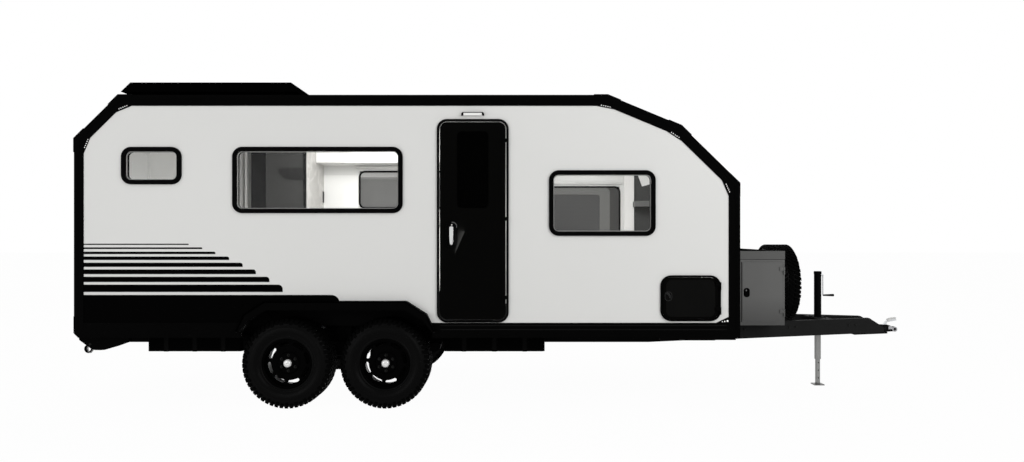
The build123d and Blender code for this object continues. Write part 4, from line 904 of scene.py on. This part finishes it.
made("tail_lamp_whites", whites, lamp_opal)
for z, *size in ((0.86, 0.368, 0.008, 0.002), (0.798, 0.372, 0.01, 0.003), (0.922, 0.372, 0.01, 0.003)):
    plate(holder, rounded(0, z, *size, 2), plate_face_x, plate_face_x - 0.004, behind=True)
for y in (-0.12, 0.12):
    hex_bolt(holder, (plate_face_x, y, 0.9), (-1, 0, 0), 0.006, 0.003)
made("plate_holder", holder, frame_rubber, edge=0.001)

# -------- front box
# A folded steel tool box in grey powder coat. Its lid has a deep band and a rubber mat, and each
# door has a seal all round and a pull latch at its rear edge.
box_half, box_rear_x, box_front_x, box_top_z, lid_foot_z = 0.76, 2.019, 2.549, 1.405, 1.326
box_door_x, box_door_z, latch_x, latch_z = 2.341, 1.02, 2.19, 1.014


def darkened_towards_foot(finish, low_z, high_z, share):
    """Darkens a finish towards its foot."""
    tree = finish.node_tree
    split = node(tree, "SeparateXYZ", Vector=tree.nodes["Texture Coordinate"].outputs["Object"])
    darkening = node(tree, "MapRange", Value=split.outputs["Z"], From_Min=low_z, From_Max=high_z,
                To_Min=1 - share, To_Max=0.0)
    overlaid(finish, darkening.outputs["Result"], (0.0, 0.0, 0.0))


box_grey = coating("box_grey", (0.098, 0.098, 0.096), shine=0.22, mottle=0.05, patch=2.5, peel=0.15)
# The box grey darkens towards its foot
darkened_towards_foot(box_grey, 0.7, 0.98, 0.55)
lid_grey = coating("box_lid_grey", (0.082, 0.082, 0.08), shine=0.2, mottle=0.05, patch=2.5, peel=0.15)
box_line = coating("box_line", 0.006, rough=0.6, shine=0.05)
box_seal = coating("box_seal", (0.085, 0.085, 0.083), rough=0.6, shine=0.1)
lid_rubber = coating("lid_rubber", 0.006, rough=0.8, shine=0.02, mottle=0.3, peel=0.5)
latch_mark = coating("latch_mark", 0.16, rough=0.4, shine=0.2)
dress(box_grey, "front_box", "box_door_right", "box_door_left", edge=0.004)
lid, gaps, latch_plates, latches, marks = [bmesh.new() for _ in range(5)]
for side in (-1, 1):
    face, leaf = side * box_half, side * (box_half + 0.004)
    block(lid, (box_rear_x + 0.02, face, lid_foot_z), (box_front_x + 0.002, face + side * 0.0035, box_top_z))
    block(gaps, (box_rear_x + 0.02, face, 1.3225), (box_front_x, face + side * 0.0008, 1.3265))
    plate(latch_plates, rounded(latch_x, latch_z, 0.056, 0.086, 0.024), leaf, leaf + side * 0.003)
    surround(latches, rounded(latch_x, latch_z, 0.046, 0.072, 0.02),
             rounded(latch_x, latch_z, 0.034, 0.058, 0.014), leaf + side * 0.003, leaf + side * 0.01)
    turned(latches, [(0.0004, 0), (0.009, 0), (0.008, 0.006), (0.0004, 0.007)],
           facing(latch_x, leaf + side * 0.003, latch_z + 0.008, side), 16)
    plate(marks, [(2.18, 1.048), (2.186, 1.05), (2.19, 1.03), (2.185, 1.02), (2.181, 1.03)],
          leaf + side * 0.0035, leaf + side * 0.0061)
made("box_lid_band", lid, lid_grey, edge=0.002)
made("box_lid_gap", gaps, box_line)
for side, name in ((-1, "right"), (1, "left")):
    seam = bmesh.new()
    surround(seam, rounded(box_door_x, box_door_z, 0.387, 0.57, 0.02),
             rounded(box_door_x, box_door_z, 0.378, 0.561, 0.016),
             side * (box_half - 0.003), side * (box_half + 0.0012))
    made(f"box_door_seal_{name}", seam, box_seal)
    # Painted shadow: a dark strip along each door's rear edge, where the door casts its shade
    boxed(f"box_door_shadow_{name}", box_line,
          ((2.1375, side * (box_half - 0.002), 0.736), (2.1445, side * (box_half + 0.0014), 1.304)))
made("box_latch_plates", latch_plates, frame_rubber, edge=0.001)
made("box_latches", latches, frame_rubber, edge=0.001)
made("box_latch_marks", marks, latch_mark)
boxed("box_lid_mat", lid_rubber, ((box_rear_x + 0.006, -box_half + 0.004, box_top_z - 0.0004),
                                  (box_front_x - 0.006, box_half - 0.004, box_top_z)), edge=0.0001)

# -------- wheels
# Four wheels and a spare alike: mud tyres on black pressed steel discs with eight slots, six
# dark nuts and a bright cap over the hub. Chunky shoulder blocks run down the side walls.
tyre_radius, pitches, nut_circle = 0.402, 54, 0.06985
tyre_rubber = coating("tyre_rubber", 0.0009, rough=0.36, shine=0.034, mottle=0.25, patch=9, peel=0.3)
rim_black = coating("rim_black", 0.0008, rough=0.35, shine=0.008)
nut_black = coating("nut_black", (0.006, 0.006, 0.0058), rough=0.3, shine=0.08, mottle=0.3, patch=60)
barrel_zinc = coating("barrel_zinc", (0.93, 0.93, 0.92), rough=0.3, metal=0.5, mottle=0.03, patch=20,
                      peel=0.02)
cap_bright = coating("hub_cap_bright", (0.69, 0.69, 0.68), rough=0.3, metal=0.3, mottle=0.05, patch=30)
drum_iron = coating("drum_iron", (0.004, 0.0039, 0.0037), rough=0.7, shine=0.03, mottle=0.3, patch=14)
tread_rubber = coating("tread_rubber", 0.001, rough=0.7, shine=0.014, mottle=0.25, patch=9, peel=0.2)


def swept(shape, place, section, a_one, a_two, skew=0.0, steps=2):
    """Block with a (radius, offset) section, swept about the axle between two angles."""
    rows = []
    for i in range(steps + 1):
        a = a_one + (a_two - a_one) * i / steps
        rows.append([shape.verts.new(place @ polar(r, a + skew * h, h)) for r, h in section])
    for one, two in zip(rows, rows[1:]):
        for j in range(len(section)):
            k = (j + 1) % len(section)
            shape.faces.new((one[j], two[j], two[k], one[k]))
    shape.faces.new(rows[0])
    shape.faces.new(rows[-1][::-1])


def tyre(name, place, body):
    """Turned carcass with its bead and side wall lines, and a ring of tread and shoulder blocks."""
    side = [(0.2053, 0.092), (0.2195, 0.0985), (0.2235, 0.11), (0.229, 0.119), (0.233, 0.119),
            (0.235, 0.1215), (0.24, 0.118), (0.242, 0.116), (0.248, 0.116), (0.252, 0.1185),
            (0.26, 0.1236), (0.27, 0.1284), (0.28, 0.1315), (0.29, 0.1333), (0.3, 0.134),
            (0.318, 0.1335), (0.33, 0.1322), (0.332, 0.1306), (0.354, 0.1275), (0.37, 0.121),
            (0.382, 0.112), (0.3885, 0.096), (0.39, 0.0)]
    centre = [(0.387, 0.005), (tyre_radius, 0.006), (tyre_radius, 0.052), (0.387, 0.054)]
    pitch = 2 * pi / pitches
    carcass, blocks = bmesh.new(), bmesh.new()
    turned(carcass, side + [(r, -h) for r, h in side[-2::-1]], place, 108)
    made(f"{name}_carcass", carcass, tyre_rubber, body=body, smooth=True)
    for n in range(pitches):
        foot = 0.352 if n % 2 else 0.364        # every other shoulder block is shorter
        shoulder = [(0.386, 0.062), (tyre_radius, 0.063), (tyre_radius, 0.109), (0.397, 0.116),
                    (0.382, 0.1262), (foot + 0.008, 0.1332), (foot, 0.1334), (foot, 0.126),
                    (0.368, 0.118), (0.38, 0.108), (0.385, 0.098)]
        for sign in (-1, 1):
            start = n * pitch + (pitch / 2 if sign > 0 else 0.0)
            for section, shift, share, skew in ((centre, 0.0, 0.7, 1.9), (shoulder, 0.03, 0.66, 0.9)):
                swept(blocks, place, [(r, sign * h) for r, h in section], start - shift,
                      start - shift + pitch * share, sign * skew, 1)
    return made(f"{name}_blocks", blocks, tread_rubber, body=body, edge=0.0014)


def stadium(du, dv, half, reach):
    """How far a slot's edge lies from its centre in a direction."""
    run = hypot(du, dv)
    du, dv = abs(du) / run, abs(dv) / run
    if dv > 0 and du / dv * half <= reach - half:
        return half / dv
    c = reach - half
    return c * du + sqrt(max(half * half - c * c * dv * dv, 0.0))


def wheel_disc(name, place, body):
    """Rolled rim barrel, pressed disc with slots, nuts and, on a hub, a brake drum and a cap."""
    disc, lining, nuts = bmesh.new(), bmesh.new(), bmesh.new()
    barrel = [(0.2195, 0.1), (0.22, 0.1065), (0.215, 0.1085), (0.209, 0.104), (0.205, 0.092),
              (0.202, 0.056), (0.1985, 0.04), (0.1985, -0.06), (0.203, -0.092), (0.211, -0.1065),
              (0.22, -0.105), (0.22, -0.0985), (0.205, -0.087), (0.2015, -0.056), (0.2015, 0.04),
              (0.205, 0.05), (0.2085, 0.094)]
    turned(disc, barrel, place, 72)
    turned(lining, [(0.1976, 0.04), (0.1983, 0.04), (0.1983, -0.06), (0.1976, -0.06)], place, 72)
    made(f"{name}_lining", lining, barrel_zinc, body=body)
    inner_r, outer_r, slot_r, slots, half = 0.0975, 0.203, 0.1735, 8, pi / 8
    slot_half, slot_reach, lip_wide, lip_sink = 0.015, 0.053, 0.0045, 0.0035
    edge = [(-half + 2 * half * i / 12, outer_r) for i in range(12)]
    edge += [(half, outer_r + (inner_r - outer_r) * i / 6) for i in range(6)]
    edge += [(-a, outer_r + inner_r - r) for a, r in edge]
    for k in range(slots):
        centre = radians(15) + 2 * pi * k / slots
        loops = []
        for height in (0.052, 0.046):
            outside, lip, slot = [], [], []
            for a, r in edge:
                du, dv = a * slot_r, r - slot_r
                run = hypot(du, dv)
                reach = stadium(du, dv, slot_half, slot_reach)
                for line, far, z in ((outside, run, height), (lip, reach + lip_wide, height),
                                     (slot, reach, height - lip_sink)):
                    b, s = centre + du * far / run / slot_r, slot_r + dv * far / run
                    line.append(disc.verts.new(place @ polar(s, b, z)))
            loops.append((outside, lip, slot))
        (_, _, high_slot), (_, _, low_slot) = loops
        for i in range(len(edge)):
            for outside, lip, slot in loops:
                disc.faces.new((outside[i - 1], outside[i], lip[i], lip[i - 1]))
                disc.faces.new((lip[i - 1], lip[i], slot[i], slot[i - 1]))
            disc.faces.new((high_slot[i - 1], high_slot[i], low_slot[i], low_slot[i - 1]))
        bump = place @ Matrix.Rotation(centre, 4, "Z") @ Matrix.Translation((0.126, 0, 0.0515))
        turned(disc, [(0.0004, 0.0045), (0.006, 0.0038), (0.011, 0.0012), (0.0125, -0.001),
                      (0.0004, -0.001)], bump, 20)
    turned(disc, [(0.044, 0.045), (0.102, 0.045), (0.102, 0.052), (0.094, 0.06), (0.044, 0.061)], place, 64)
    bmesh.ops.remove_doubles(disc, verts=disc.verts, dist=0.00005)
    piece = made(f"{name}_disc", disc, rim_black, body=body)
    for k in range(6):
        spot = place @ Matrix.Translation(polar(nut_circle, radians(30 + 60 * k), 0.06))
        turned(nuts, [(0.0004, 0), (0.0145, 0), (0.0145, 0.003), (0.0004, 0.003)], spot, 20)
        turned(nuts, [(0.0004, 0.003), (0.0112, 0.003), (0.0112, 0.015), (0.007, 0.021), (0.0004, 0.0225)],
               spot, 6)
    made(f"{name}_nuts", nuts, nut_black, body=body)
    if body != "caravan":
        hub, cap = bmesh.new(), bmesh.new()
        turned(hub, [(0.015, -0.062), (0.13, -0.062), (0.164, -0.058), (0.164, -0.004), (0.06, -0.002),
                     (0.06, 0.03), (0.045, 0.054), (0.045, 0.085), (0.015, 0.085)], place, 64)
        made(f"{name}_drum", hub, drum_iron, body=body)
        turned(cap, [(0.0004, 0.112), (0.014, 0.1114), (0.025, 0.109), (0.0325, 0.104), (0.0352, 0.096),
                     (0.0356, 0.0845), (0.0366, 0.0845), (0.0366, 0.0815), (0.0004, 0.0815)], place, 40)
        made(f"{name}_cap", cap, cap_bright, body=body, smooth=True)
    return piece


for name in ("front_right", "front_left", "rear_right", "rear_left"):
    low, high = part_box(f"tyre_{name}")
    out = -1 if name.endswith("right") else 1
    turn = Matrix(((1, 0, 0), (0, 0, out), (0, -out, 0))).to_4x4()
    place = Matrix.Translation(((low[0] + high[0]) / 2, (low[1] + high[1]) / 2, tyre_radius)) @ turn
    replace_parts(tyre(f"tyre_{name}", place, f"wheel_{name}"), f"tyre_{name}")
    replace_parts(wheel_disc(f"wheel_{name}", place, f"wheel_{name}"), f"wheel_rim_{name}")
    shield = bmesh.new()
    swept(shield, place, [(0.105, -0.066), (0.195, -0.066), (0.195, -0.069), (0.105, -0.069)],
          radians(-66), radians(112), 0.0, 30)
    made(f"brake_shield_{name}", shield, drum_iron)
spare_place = Matrix.Translation((2.722, 0, 1.056)) @ Matrix(((0, 0, 1), (1, 0, 0), (0, 1, 0))).to_4x4()
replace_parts(tyre("tyre_spare", spare_place, "caravan"), "spare_tyre")
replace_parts(wheel_disc("wheel_spare", spare_place, "caravan"), "spare_rim")
dress(chassis_black, "spare_carrier", edge=0.002)

# -------- jack
# The jockey jack has a black outer tube with a top cap, a side winding handle and a bright
# inner leg drilled with pin holes, ending in a square foot.
jack_x = 3.161
jack_black = coating("jack_black", 0.0018, shine=0.015)
leg_bright = coating("leg_bright", (0.235, 0.235, 0.23), rough=0.34, metal=0.7, mottle=0.08, patch=26)
# Painted shade: the leg's foot is darkened, to cut the white floor it reflects
darkened_towards_foot(leg_bright, 0.01, 0.034, 0.5)
grip_black = coating("grip_black", 0.003, rough=0.7, shine=0.03, peel=0.4)
dress(jack_black, "jack_tube", edge=0.002)
dress(leg_bright, "jack_leg", edge=0.002)
rings, rod, grip, hole_shades = bmesh.new(), bmesh.new(), bmesh.new(), bmesh.new()
forward = Matrix.Rotation(pi / 2, 4, "Y")
for ring in ([(0.0355, 1.15), (0.0385, 1.152), (0.0385, 1.172), (0.0355, 1.1788)],
             [(0.0355, 0.552), (0.0385, 0.55), (0.0385, 0.562), (0.0355, 0.566)]):
    turned(rings, ring, Matrix.Translation((jack_x, 0, 0)), 40)
made("jack_rings", rings, jack_black)
turned(rod, [(0.0004, 0), (0.012, 0), (0.012, 0.008), (0.0055, 0.009), (0.0055, 0.0245), (0.0004, 0.0255)],
       Matrix.Translation((jack_x + 0.034, 0, 1.146)) @ forward, 20)
turned(rod, [(0.0004, 0), (0.0055, 0.002), (0.0055, 0.214), (0.0035, 0.219), (0.0004, 0.22)],
       Matrix.Translation((jack_x + 0.055, 0, 0.932)), 20)
made("jack_crank_rod", rod, zinc)
turned(grip, [(0.0004, 0.0), (0.007, 0.001), (0.0085, 0.012), (0.0095, 0.04), (0.0118, 0.085),
              (0.013, 0.104), (0.012, 0.113), (0.007, 0.1165), (0.0004, 0.117)],
       Matrix.Translation((jack_x + 0.053, 0, 0.93)) @ forward, 28)
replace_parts(made("jack_crank_grip", grip, grip_black, smooth=True), "jack_crank")
# Painted shade: the pin holes are black discs on the leg, standing in for the shade inside each hole
for z in (0.073, 0.153, 0.232):
    for side in (-1, 1):
        turned(hole_shades, [(0.0004, 0.0004), (0.0065, 0.0004), (0.0065, -0.003), (0.0004, -0.003)],
               facing(jack_x, side * 0.0236, z, side), 16)
made("jack_leg_holes", hole_shades, jack_black, body="jack_leg")

# -------- floor, light and camera
# A plain white floor that runs into a white surround, wide soft lamps and a level camera. What
# the camera sees of the floor and surround is whiter than the light they give.
def seen_rays(tree):
    """Socket that is one for the rays that show a surface: camera, glossy and transmission."""
    path = node(tree, "LightPath")
    seen = path.outputs["Is Camera Ray"]
    for kind in ("Is Glossy Ray", "Is Transmission Ray"):
        seen = worked(tree, "MAXIMUM", seen, path.outputs[kind])
    return seen


def mixed(tree, share, one, two, output):
    """Mixes two shaders by a share into a material's or world's surface."""
    blend = node(tree, "MixShader")
    feed(tree, blend, {0: share, 1: one.outputs[0], 2: two.outputs[0]})
    feed(tree, tree.nodes[output], {"Surface": blend.outputs[0]})


ground = bmesh.new()
plate(ground, [(-60, -0.02), (60, -0.02), (60, 0.0), (-60, 0.0)], -30, 60)
floor = meshed("floor", ground)
floor_finish = bpy.data.materials.new("floor_white")
floor_finish.use_nodes = True
tree = floor_finish.node_tree
tree.nodes.remove(tree.nodes["Principled BSDF"])
mixed(tree, worked(tree, "MULTIPLY", seen_rays(tree), 0.975),
      node(tree, "BsdfDiffuse", Color=(0.8, 0.8, 0.8, 1)), node(tree, "Emission"), "Material Output")
floor.data.materials.append(floor_finish)

world = bpy.data.worlds.new("studio")
bpy.context.scene.world = world
world.use_nodes = True
tree = world.node_tree
surround_light = tree.nodes["Background"]
feed(tree, surround_light, {"Color": (0.58, 0.58, 0.58, 1)})
mixed(tree, seen_rays(tree), surround_light, node(tree, "Background", Color=(1, 1, 1, 1)), "World Output")


def lamp(name, place, look_at, size, power):
    """Square area lamp that looks at a point."""
    light = bpy.data.lights.new(name, "AREA")
    light.shape, light.size, light.energy = "SQUARE", size, power
    piece = placed(name, light)
    piece.location = place
    piece.rotation_euler = (Vector(look_at) - Vector(place)).to_track_quat("-Z", "Y").to_euler()


lamp("key_lamp", (6.0, -9.0, 5.0), (0.0, 0, 1.2), 6.0, 412)
lamp("fill_lamp", (-6.0, -8.5, 1.2), (-0.6, 0, 0.5), 5.0, 200)
lamp("back_lamp", (-2.0, 8.0, 6.0), (0, 0, 1.4), 6.0, 200)
lamp("cabin_lamp_rear", (-1.5, -0.2, 2.59), (-1.6, 0.3, 1.5), 0.7, 24)
lamp("cabin_lamp_low", (-0.37, -0.95, 1.35), (-2.3, 0.8, 2.2), 0.5, 20)
lamp("washroom_lamp", (-3.2, -0.6, 1.5), (-3.75, -0.1, 2.6), 0.4, 2.6)
lamp("cabin_lamp_front", (0.9, -0.2, 2.36), (0.9, 0.3, 1.31), 0.7, 19)

camera = placed("camera", bpy.data.cameras.new("camera"))
camera.location = (-0.02, -8.0, 1.556)
camera.rotation_euler = (radians(90), 0, 0)
camera.data.lens, camera.data.shift_y = 27.02, 0.0039
bpy.context.scene.camera = camera
bpy.context.scene.view_settings.view_transform = "Standard"
